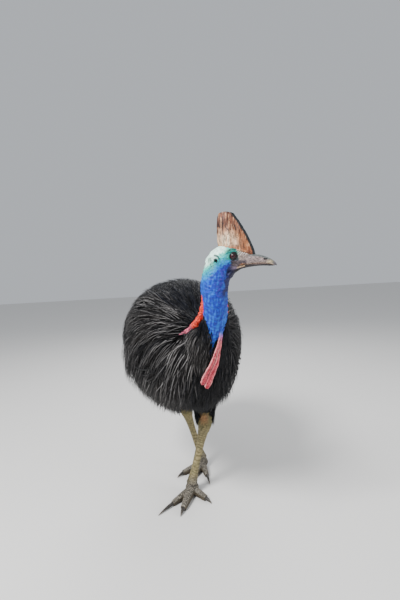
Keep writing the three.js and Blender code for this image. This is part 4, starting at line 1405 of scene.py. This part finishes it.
@dataclass
class Plumage:
    """The long, hair-like feathers, as tufts of fine tapered strands that lie back and hang.

    A tuft's run leaves the skin at its root, follows the body backwards and downwards, and falls free
    of it under the flank and behind the rump. Its strands start spread over the skin and draw together
    towards the tip.

    Attributes:
        free_angle: The angle from the back past which a run falls free, in degrees.
        free_share: The share of the body's length past which it falls free.
        fringe: The lowest that a body feather hangs.
        strands: Strands in a tuft.
        guards: How many of a tuft's strands lie on top, broader and, on the flanks, paler as painted
            highlights.
        rings: Rings in a strand, its point apart.
        thick: A strand's thickness.
        lengths: Tufts' lengths along the body, as shares and millimetres.
        lifts: Tufts' heights over the skin, the same way.
        strip_clear: How far the body's roots keep from the red strips' lines.
        neck_clear: How far the neck's roots keep from them.
        hem_rounds: How many times the runs are laid, shorter each time where they hang past the hem.
        hem_trim: By how much each time.
        shortest: The length under which a tuft isn't shortened.
    """

    free_angle: float = 112.0
    free_share: float = 0.87
    fringe: float = 398.0
    strands: int = 17
    guards: int = 3
    rings: int = 4
    thick: float = 0.8
    lengths: tuple[tuple[float, ...], tuple[float, ...]] = (
        (0.0, 0.02, 0.13, 0.22, 0.31, 0.45, 0.62, 0.7, 0.78, 0.9),
        (105, 120, 165, 192, 210, 224, 225, 214, 204, 180),
    )
    lifts: tuple[tuple[float, ...], tuple[float, ...]] = ((0.0, 0.02, 0.13, 0.22, 1.0), (18, 20, 29, 32, 32))
    strip_clear: float = 11.0
    neck_clear: float = 9.0
    hem_rounds: int = 9
    hem_trim: float = 14.0
    shortest: float = 60.0

    def runs(
        self, tube: Tube, t: Array, angle: Array, length: Array, lift: Array, hang: Array, sink: float
    ) -> tuple[Array, Array]:
        """The runs of many tufts at once.

        Each step adds to the place on the skin the way back along the body plus a share of the way
        down, and the height over the skin follows a quarter of a sine from under it.

        Args:
            tube: The body that they grow on.
            t: Each root's share of the tube's length.
            angle: Each root's angle from the tube's top.
            length: Each run's length.
            lift: Each run's height over the skin.
            hang: How much each run turns down rather than back.
            sink: How far a root goes under the skin.

        Returns:
            The runs' points and the ways out of the skin there, each tuft by ring by axis.
        """
        u, a = t.copy(), angle.copy()
        step = length / self.rings
        heading = np.tile([0.0, 0.8, -0.6], (len(t), 1))
        spots, outs = [], []
        for i in range(self.rings + 1):
            s = i / self.rings
            free_from = np.radians(self.free_angle + 48 * smooth(0.36, 0.14, u))
            follows = (np.abs(a) < free_from) & (u < self.free_share)
            inner = np.clip(u, 0.011, 0.985)
            metre = (tube.point(inner + 0.01, a) - tube.point(inner - 0.01, a)) * 50
            around = (tube.point(inner, a + 0.02) - tube.point(inner, a - 0.02)) * 25
            out = unit(np.cross(around, metre))
            skin = tube.point(u, a)
            out *= np.where((out * (skin - tube.line(inner))).sum(-1) < 0, -1, 1)[:, None]
            height = mix(-sink, lift, np.sin(min(1, s * 1.3 + 0.12) * 1.6))
            spot = skin + out * height[:, None]
            back = unit(metre)
            if i:
                free = unit(mix(unit(back * 0.55 + np.array([0, 0, -1.0])), heading, 0.5))
                spot = np.where(follows[:, None], spot, spots[-1] + free * step[:, None])
                heading = unit(spot - spots[-1])
            spots.append(spot)
            outs.append(out)
            down = out * out[:, 2:] - np.array([0, 0, 1.0])
            way = unit(back + down * (hang * (0.55 + 0.45 * s))[:, None])
            u = np.minimum(1, u + (way * metre).sum(-1) * step / (metre**2).sum(-1))
            a = a + (way * around).sum(-1) * step / (around**2).sum(-1)
        return np.stack(spots, 1), np.stack(outs, 1)

    def roots(self, tube: Tube, count: int, low: float, high: float, seed: int) -> tuple[Array, Array]:
        """Evenly spread roots: even steps over share and angle, each kept by how much skin it stands for.

        Args:
            tube: The body that they grow on.
            count: How many at the most.
            low: The share of the tube's length from which they grow.
            high: The share up to which they grow.
            seed: The random draw's seed.

        Returns:
            The roots' shares and angles.
        """
        draw = np.random.default_rng(seed)
        k = np.arange(count * 6) + draw.integers(1000)
        t = mix(low, high, (k * EVEN_STEPS[0]) % 1)
        angle = ((k * EVEN_STEPS[1]) % 1 * 2 - 1) * np.pi
        along = tube.point(np.clip(t + 0.01, 0, 1), angle) - tube.point(np.clip(t - 0.01, 0, 1), angle)
        across = tube.point(t, angle + 0.05) - tube.point(t, angle - 0.05)
        area = np.linalg.norm(along, axis=-1) * np.linalg.norm(across, axis=-1)
        keep = draw.uniform(0, np.quantile(area, 0.98), len(t)) < area
        return t[keep][:count], angle[keep][:count]

    def spread(self, spots: Array, outs: Array, seed: int, clump: Clump) -> tuple[Array, Array, Array]:
        """Strands of each tuft: offsets aside and outward, with a stray and a sway of their own to the tip.

        Args:
            spots: The tufts' runs.
            outs: The ways out of the skin.
            seed: The random draw's seed.
            clump: How a tuft's strands lie together.

        Returns:
            The strands' runs, the ways out, and the tuft that each belongs to.
        """
        draw = np.random.default_rng(seed)
        tuft = np.repeat(np.arange(len(spots)), self.strands)
        count, rings = len(tuft), spots.shape[1]
        each = (count, 1, 1)
        s = np.linspace(0, 1, rings)[None, :, None]
        run, out = spots[tuft], outs[tuft]
        reach = np.minimum(draw.uniform(0.72, 1.08, each), 1.06)
        place_in = np.minimum(s[..., 0] * reach[..., 0], 1) * (rings - 1)
        i = np.minimum(place_in.astype(int), rings - 2)
        w = (place_in - i)[..., None]
        rows = np.arange(count)[:, None]
        run = mix(run[rows, i], run[rows, i + 1], w)
        out = unit(mix(out[rows, i], out[rows, i + 1], w))
        ahead = unit(np.gradient(run, axis=1))
        side = unit(np.cross(ahead, out))
        over = np.cross(side, ahead)
        slip = draw.normal(0, 1, each) * mix(clump.root, clump.tip, s)
        rise = -np.abs(draw.normal(0, 0.5, each)) * mix(clump.deep * 0.15, clump.deep, smooth(0, 0.6, s))
        guard = (np.arange(count) % self.strands < self.guards)[:, None, None]
        rise = np.where(guard, 1.6 * smooth(0, 0.3, s), rise)
        even = mix(clump.root, mix(clump.root, clump.tip, 0.4), s)
        slip = np.where(guard, draw.normal(0, 1, each) * even, slip)
        slip = slip + draw.normal(0, 1, each) * clump.tip * np.where(guard, 1.7, 0.6) * s**1.5
        sway = draw.normal(0, 1, each) * np.sin(s * 2.2 + draw.uniform(0, 6.28, each)) * 2.4 * s
        return run + side * (slip + sway) + over * rise, out, tuft

    def strand_shell(self, runs: Array, outs: Array, width: Array) -> Shell:
        """Strands of three sides: a flat underside and a ridge, broad near the root and drawn to a point.

        Args:
            runs: The strands' runs.
            outs: The ways out of the skin.
            width: Each strand's width.

        Returns:
            Their shell.
        """
        count, rings, _ = runs.shape
        ahead = unit(np.gradient(runs, axis=1))
        side = unit(np.cross(ahead, outs))
        over = np.cross(side, ahead)
        s = np.linspace(0, 1, rings)[None, :, None]
        broad = np.interp(s, [0, 0.25, 0.6, 0.85, 1], [0.7, 1, 0.85, 0.5, 0.0])
        half = side * (width[:, None, None] / 2 * broad)
        tall = over * (self.thick * mix(1, 0.5, s)) / 2
        ring = np.stack([runs + tall, runs + half - tall, runs - half - tall], 2)
        body = ring[:, :-1].reshape(count, -1, 3)
        points = np.concatenate([body, runs[:, -1:]], 1)
        per, last = 3 * (rings - 1) + 1, 3 * (rings - 2)
        i, j = np.meshgrid(np.arange(rings - 2) * 3, np.arange(3), indexing="ij")
        k = (j + 1) % 3
        quads = np.stack([i + j, i + k, i + 3 + k, i + 3 + j], -1).reshape(-1, 4)
        tips = [[last + side, last + (side + 1) % 3, per - 1] for side in range(3)]
        tips = np.array([*tips, [0, 2, 1]])
        starts = (np.arange(count) * per)[:, None, None]
        return points.reshape(-1, 3), [(quads + starts).reshape(-1, 4), (tips + starts).reshape(-1, 3)]

    def grow(
        self, name: str, runs: Array, outs: Array, roots: Array, worn_and_lit: Array, seed: int, width: float
    ) -> Object:
        """A piece of coat from its strands, painted, with each strand a small patch of the map.

        Args:
            name: The piece's name.
            runs: The strands' runs.
            outs: The ways out of the skin.
            roots: Each strand's root on the unwrapped skin, as shares across and along.
            worn_and_lit: How sun-bleached the plumage is at each root, and how lit as painted light, 0 to 1.
            seed: The random draw's seed.
            width: A strand's width.

        Returns:
            The object.
        """
        draw = np.random.default_rng(seed)
        count, rings, _ = runs.shape
        guard = np.arange(count) % self.strands < self.guards
        widths = width * draw.uniform(0.7, 1.3, count) * np.where(guard, 1.15, 1)
        piece = new_piece(name, self.strand_shell(runs, outs, widths))
        per = 3 * (rings - 1) + 1
        s = np.append(np.repeat(np.linspace(0, 1, rings)[:-1], 3), 1.0)
        paint(piece, self.markings(worn_and_lit, guard, s, draw))
        across = np.append(np.tile([0.5, 1.0, 0.0], rings - 1), 0.5)
        patch = np.stack([across, s], -1) * TUFT_PATCH
        uv = (roots[:, None, :] * (1 - TUFT_PATCH) + patch[None]).reshape(-1, 2)
        corners = np.zeros(len(piece.data.loops), np.int32)
        piece.data.loops.foreach_get("vertex_index", corners)
        layer = piece.data.uv_layers.new(name=UV_NAME)
        layer.data.foreach_set("uv", uv[corners].astype(np.float32).ravel())
        return place(piece, FEATHERS, "plumage")

    @staticmethod
    def markings(worn_and_lit: Array, guard: Array, s: Array, draw: np.random.Generator) -> Array:
        """Blue-black on the back and breast, grey-brown and bleached on the flanks with painted light, pale
        guard strands there as painted highlights, a shade for each strand.

        Args:
            worn_and_lit: How bleached each strand is, and how lit as painted light.
            guard: Whether each strand is one of the broad ones on top.
            s: Each point's share of its strand's length.
            draw: The random draw.

        Returns:
            The tint at each point.
        """
        count = len(worn_and_lit)
        tone = draw.uniform(0, 1, count) ** 2.2
        base = mix(colour(4, 5, 8), colour(24, 28, 40), tone[:, None])
        brown = mix(colour(5, 5, 6), colour(42, 40, 41), tone[:, None])
        base = mix(base, brown, worn_and_lit[:, None])
        # Painted highlights: the guard strands of the bleached flanks are made pale.
        lit = guard * worn_and_lit * draw.uniform(0.0, 1, count) ** 1.5
        base = mix(base, colour(154, 151, 150), lit[:, None])
        tips = mix(base * 0.5, colour(104, 96, 92), (worn_and_lit * draw.uniform(0, 1, count) ** 4 * 0.7)[:, None])
        return mix(base[:, None], tips[:, None], (s**2)[None, :, None]).reshape(count * len(s), 3)

    def coat(
        self, name: str, tube: Tube, t: Array, angle: Array, length: Array, lift: Array, hang: Array,
        worn_and_lit: Array, clump: Clump, seed: int,
    ) -> Object:
        """A piece of coat, from its tufts' runs to its strands.

        Args:
            name: The piece's name.
            tube: The body that it grows on.
            t: Each root's share of the tube's length.
            angle: Each root's angle from the tube's top.
            length: Each run's length.
            lift: Each run's height over the skin.
            hang: How much each run turns down rather than back.
            worn_and_lit: How sun-bleached each tuft is, and how lit as painted light, 0 to 1.
            clump: How a tuft's strands lie together.
            seed: The band's seed, with one more for each random draw.

        Returns:
            The object.
        """
        spots, outs = self.runs(tube, t, angle, length, lift, hang, clump.sink)
        runs, ways, tuft = self.spread(spots, outs, seed + 2, clump)
        share = np.stack([(angle[tuft] / (2 * np.pi)) % 1, t[tuft]], -1)
        return self.grow(name, runs, ways, share, worn_and_lit[tuft], seed + 3, clump.width)

    def body_coat(self, name: str, count: int, low: float, high: float, seed: int) -> Object:
        """A band of the body's coat, between two shares of its length. A tuft past the hem is shortened."""
        t, angle = self.roots(TORSO, count, low, high, seed)
        draw = np.random.default_rng(seed + 1)
        clear = BareSkin().strip_gap(TORSO.point(t, angle)) > self.strip_clear
        t, angle = t[clear], angle[clear]
        skin = TORSO.point(t, angle)
        length = np.interp(t, *self.lengths) * draw.uniform(0.82, 1.08, len(t))
        turn = np.degrees(angle)
        flank = hill(turn, -92, 42) * hill(t, 0.52, 0.2)
        withers = hill(turn, 48, 34) * hill(t, 0.36, 0.2)
        shoulder = hill(t, 0.24, 0.13) * smooth(75, 40, np.abs(turn))
        lift = np.interp(t, *self.lifts) + 15 * flank + 12 * shoulder + 16 * withers
        even = smooth(80, 50, np.abs(turn))
        lift = lift * mix(draw.uniform(0.2, 1.12, len(t)), draw.uniform(0.62, 1.0, len(t)), even)
        hang = mix(0.35, 1.55, smooth(0.1, 0.6, np.abs(angle) / np.pi)) * mix(0.45, 1, smooth(0.04, 0.26, t))
        hem = self.fringe + 14 + 46 * smooth(0.72, 0.97, t) + 16 * ripple(skin, 110, seed + 4)
        hem = np.maximum(self.fringe - 4, hem + draw.uniform(-10, 26, len(t)))
        for _ in range(self.hem_rounds - 1):
            spots, _ = self.runs(TORSO, t, angle, length, lift, hang, BODY_CLUMP.sink)
            past = (spots[:, -1, 2] < hem) & (length > self.shortest)
            length = np.where(past, length - self.hem_trim, length)
        # Painted light and shade: the flanks' bleaching also stands for the light on them, and the bird's
        # left side is cut to 0.55 as painted shade.
        patchy_and_shaded = (0.75 + 0.25 * ripple(skin, 150, 97)) * np.where(turn > 0, 0.55, 1)
        worn_and_lit = smooth(18, 34, np.abs(turn)) * smooth(160, 138, np.abs(turn)) * smooth(0.78, 0.4, t) * patchy_and_shaded
        worn_and_lit = np.clip(worn_and_lit, 0.06, 1)
        return self.coat(name, TORSO, t, angle, length, lift, hang, worn_and_lit, BODY_CLUMP, seed)

    def thigh_coat(self, leg: Leg, count: int, seed: int) -> Object:
        """The shorter feathers of a thigh, down to the hock."""
        tube = leg.thigh()
        t, angle = self.roots(tube, count, 0.1, 0.9, seed)
        draw = np.random.default_rng(seed + 1)
        aside = np.abs((np.degrees(angle) - 188 + 180) % 360 - 180)
        floor = 294 + 80 * np.clip(1 - aside / 62, 0, 1) + 62 * draw.uniform(0, 1, len(t)) ** 1.6
        rooted = tube.line(t)[:, 2] > floor + 18
        t, angle, floor = t[rooted], angle[rooted], floor[rooted]
        low = tube.line(t)[:, 2] - floor
        length = mix(112, 84, smooth(0.3, 0.86, t)) * draw.uniform(0.8, 1.1, len(t))
        length = np.clip(length, 16, np.maximum(18, low))
        lift = draw.uniform(3, 11, len(t))
        level, worn_and_lit = np.zeros(len(t)), np.full(len(t), 0.1)
        name = "plumage_thigh_" + leg.side.word
        return self.coat(name, tube, t, angle, length, lift, level, worn_and_lit, THIGH_CLUMP, seed)

    def neck_coat(self, count: int, seed: int) -> Object:
        """The feathers that close in on the neck's base, round the bare bib and strips."""
        t, angle = self.roots(NECK, count * 3, 0.52, 1.0, seed)
        clear = BareSkin().strip_gap(NECK.point(t, angle)) > self.neck_clear
        keep = (feathered(t, np.degrees(angle)) > 0.5) & clear
        t, angle = t[keep][:count], angle[keep][:count]
        draw = np.random.default_rng(seed + 1)
        length = mix(46, 110, smooth(0.52, 0.95, t)) * draw.uniform(0.8, 1.12, len(t))
        lift = mix(6, 18, smooth(0.6, 0.95, t)) * draw.uniform(0.4, 1.1, len(t))
        # Painted light: the neck base's bleaching, on the bird's right side only, also stands for the light
        # there.
        hang, worn_and_lit = np.full(len(t), 0.4), 0.9 * smooth(0.62, 0.8, t) * smooth(60, 90, np.degrees(-angle))
        return self.coat("plumage_neck_base", NECK, t, angle, length, lift, hang, worn_and_lit, NECK_CLUMP, seed)

    def build(self) -> None:
        """The coat in bands from the breast to the rump, and on the thighs and the neck's base."""
        bands = {
            "breast": (380, 0.0, 0.17),
            "shoulder": (450, 0.17, 0.31),
            "fore_back": (480, 0.31, 0.43),
            "mid_back": (480, 0.43, 0.55),
            "hind_back": (470, 0.55, 0.67),
            "rump": (410, 0.67, 0.8),
            "tail": (310, 0.8, 0.97),
        }
        for seed, (band, (count, low, high)) in enumerate(bands.items()):
            self.body_coat("plumage_" + band, count, low, high, 100 + 10 * seed)
        self.neck_coat(420, 210)
        for seed, leg in enumerate(LEGS.values()):
            self.thigh_coat(leg, 300, 230 + 10 * seed)


@dataclass
class Quills:
    """The small wings' bare quills: black rods that come out of the flank and bend down and back.

    Attributes:
        start: The share of the body's length where they come out.
        ends: Each quill's share of the body's length, angle from the back and height over the skin.
    """

    start: float = 0.222
    ends: tuple[Place, ...] = (
        (0.318, 147, 78), (0.345, 137, 56), (0.37, 128, 42), (0.392, 119, 36), (0.408, 110, 34),
    )

    def build(self) -> None:
        """Both wings' quills, each a tube along a bent line, tapered to a point."""
        for side in Side:
            shells = []
            for i, (t, angle, height) in enumerate(self.ends):
                turn = 124 - 3 * i
                knots = [
                    (self.start, turn, 10.0, 3.0),
                    (mix(self.start, t, 0.32), mix(turn, angle, 0.3), 40.0, 2.7),
                    (mix(self.start, t, 0.68), mix(turn, angle, 0.66), mix(40, height, 0.45), 2.1),
                    (t, angle, height, 0.8),
                ]
                shells.append(Tube(rod_over(TORSO, knots, side)).shell(40, 12))
            piece = new_piece("wing_quills_" + side.word, joined(shells))
            paint_plain(piece, 8, 8, 9)
            place(piece, QUILL_HORN, "wing_quill", "wing_" + side.word)


@dataclass
class Studio:
    """The pale floor, the soft lights and the camera at the photograph's angle.

    Attributes:
        heading: Where the camera looks, from +Y towards +X, in degrees.
        place: The camera's place, in the bird's millimetres.
        pitch: How far it looks down, in degrees.
        roll: How far the bird is turned anticlockwise in the picture, in degrees.
        focal: The focal length, in pixels of a picture 600 high.
        picture: That picture's height, in pixels.
        sensor: The camera's sensor, in millimetres.
        middle: The bird's middle, in metres, which the lights look at.
        floor: Half the floor's width, in metres.
    """

    heading: float = 14.0
    place: Place = (-310.0, -1571.0, 980.0)
    pitch: float = 4.6
    roll: float = 2.4
    focal: float = 360.0
    picture: float = 600.0
    sensor: float = 36.0
    middle: Place = (0.0, 0.0, 0.6)
    floor: float = 14.0

    @staticmethod
    def stand(name: str, data: bpy.types.ID, right: Array, up: Array, back: Array, spot: Array) -> Object:
        """An object in the scene with its three axes and its place, in metres."""
        axes = np.eye(4)
        axes[:3] = np.stack([right, up, back, spot], 1)
        made = bpy.data.objects.new(name, data)
        made.matrix_world = Matrix(axes.tolist())
        bpy.context.scene.collection.objects.link(made)
        return made

    def camera(self) -> None:
        """The camera: its three axes from the heading and pitch, then turned by the roll."""
        h, p, r = np.radians([self.heading, self.pitch, self.roll])
        ahead = np.array([np.sin(h) * np.cos(p), np.cos(h) * np.cos(p), -np.sin(p)])
        right = np.array([np.cos(h), -np.sin(h), 0.0])
        up = np.cross(right, ahead)
        aside = right * np.cos(r) - up * np.sin(r)
        top = right * np.sin(r) + up * np.cos(r)
        data = bpy.data.cameras.new("camera")
        data.sensor_width = self.sensor
        data.lens = self.sensor * self.focal / self.picture
        data.clip_start = 0.02
        spot = to_frame(np.array([self.place]))[0]
        camera = self.stand("camera", data, aside, top, -ahead, spot)
        bpy.context.scene.camera = camera

    def light(self, name: str, turn: float, height: float, reach: float, size: float, power: float) -> None:
        """A large soft light that looks at the bird's middle, at a turn in degrees from -Y towards +X."""
        data = bpy.data.lights.new(name, "AREA")
        data.shape = "DISK"
        data.size = size
        data.energy = power
        turn = np.radians(turn)
        spot = np.array([np.sin(turn) * reach, -np.cos(turn) * reach, height])
        back = unit(spot - np.array(self.middle))
        right = unit(np.cross([0.0, 0.0, 1.0], back))
        self.stand(name, data, right, np.cross(back, right), back, spot)

    def build(self) -> None:
        """The floor, the world's even light, three soft lights and the camera."""
        reach = self.floor
        mesh = bpy.data.meshes.new("floor")
        corners = [(-reach, -reach, 0), (reach, -reach, 0), (reach, reach, 0), (-reach, reach, 0)]
        mesh.from_pydata(corners, [], [(0, 1, 2, 3)])
        floor = bpy.data.objects.new("floor", mesh)
        pale = bpy.data.materials.new("floor_pale")
        pale.use_nodes = True
        shader = pale.node_tree.nodes["Principled BSDF"]
        shader.inputs["Base Color"].default_value = (0.74, 0.73, 0.71, 1)
        shader.inputs["Roughness"].default_value = 0.85
        mesh.materials.append(pale)
        bpy.context.scene.collection.objects.link(floor)
        world = bpy.data.worlds.new("studio")
        world.use_nodes = True
        sky = world.node_tree.nodes["Background"]
        sky.inputs["Color"].default_value = (0.86, 0.9, 0.96, 1)
        sky.inputs["Strength"].default_value = 0.6
        bpy.context.scene.world = world
        self.light("key", -52, 3.3, 2.6, 1.2, 250)
        self.light("fill", 60, 1.7, 3.4, 2.2, 55)
        self.light("rear", 165, 2.9, 2.8, 1.8, 50)
        self.camera()


def main() -> None:
    """Builds the bird piece by piece, noting each piece's size."""
    logging.basicConfig(level=logging.INFO, format="%(name)s: %(message)s")
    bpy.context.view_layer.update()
    BareSkin().build()
    Eyes().build()
    Casque().build()
    Bill().build()
    for leg in LEGS.values():
        leg.build()
    Undercoat().build()
    Quills().build()
    Plumage().build()
    Studio().build()


if __name__ == "__main__":
    main()
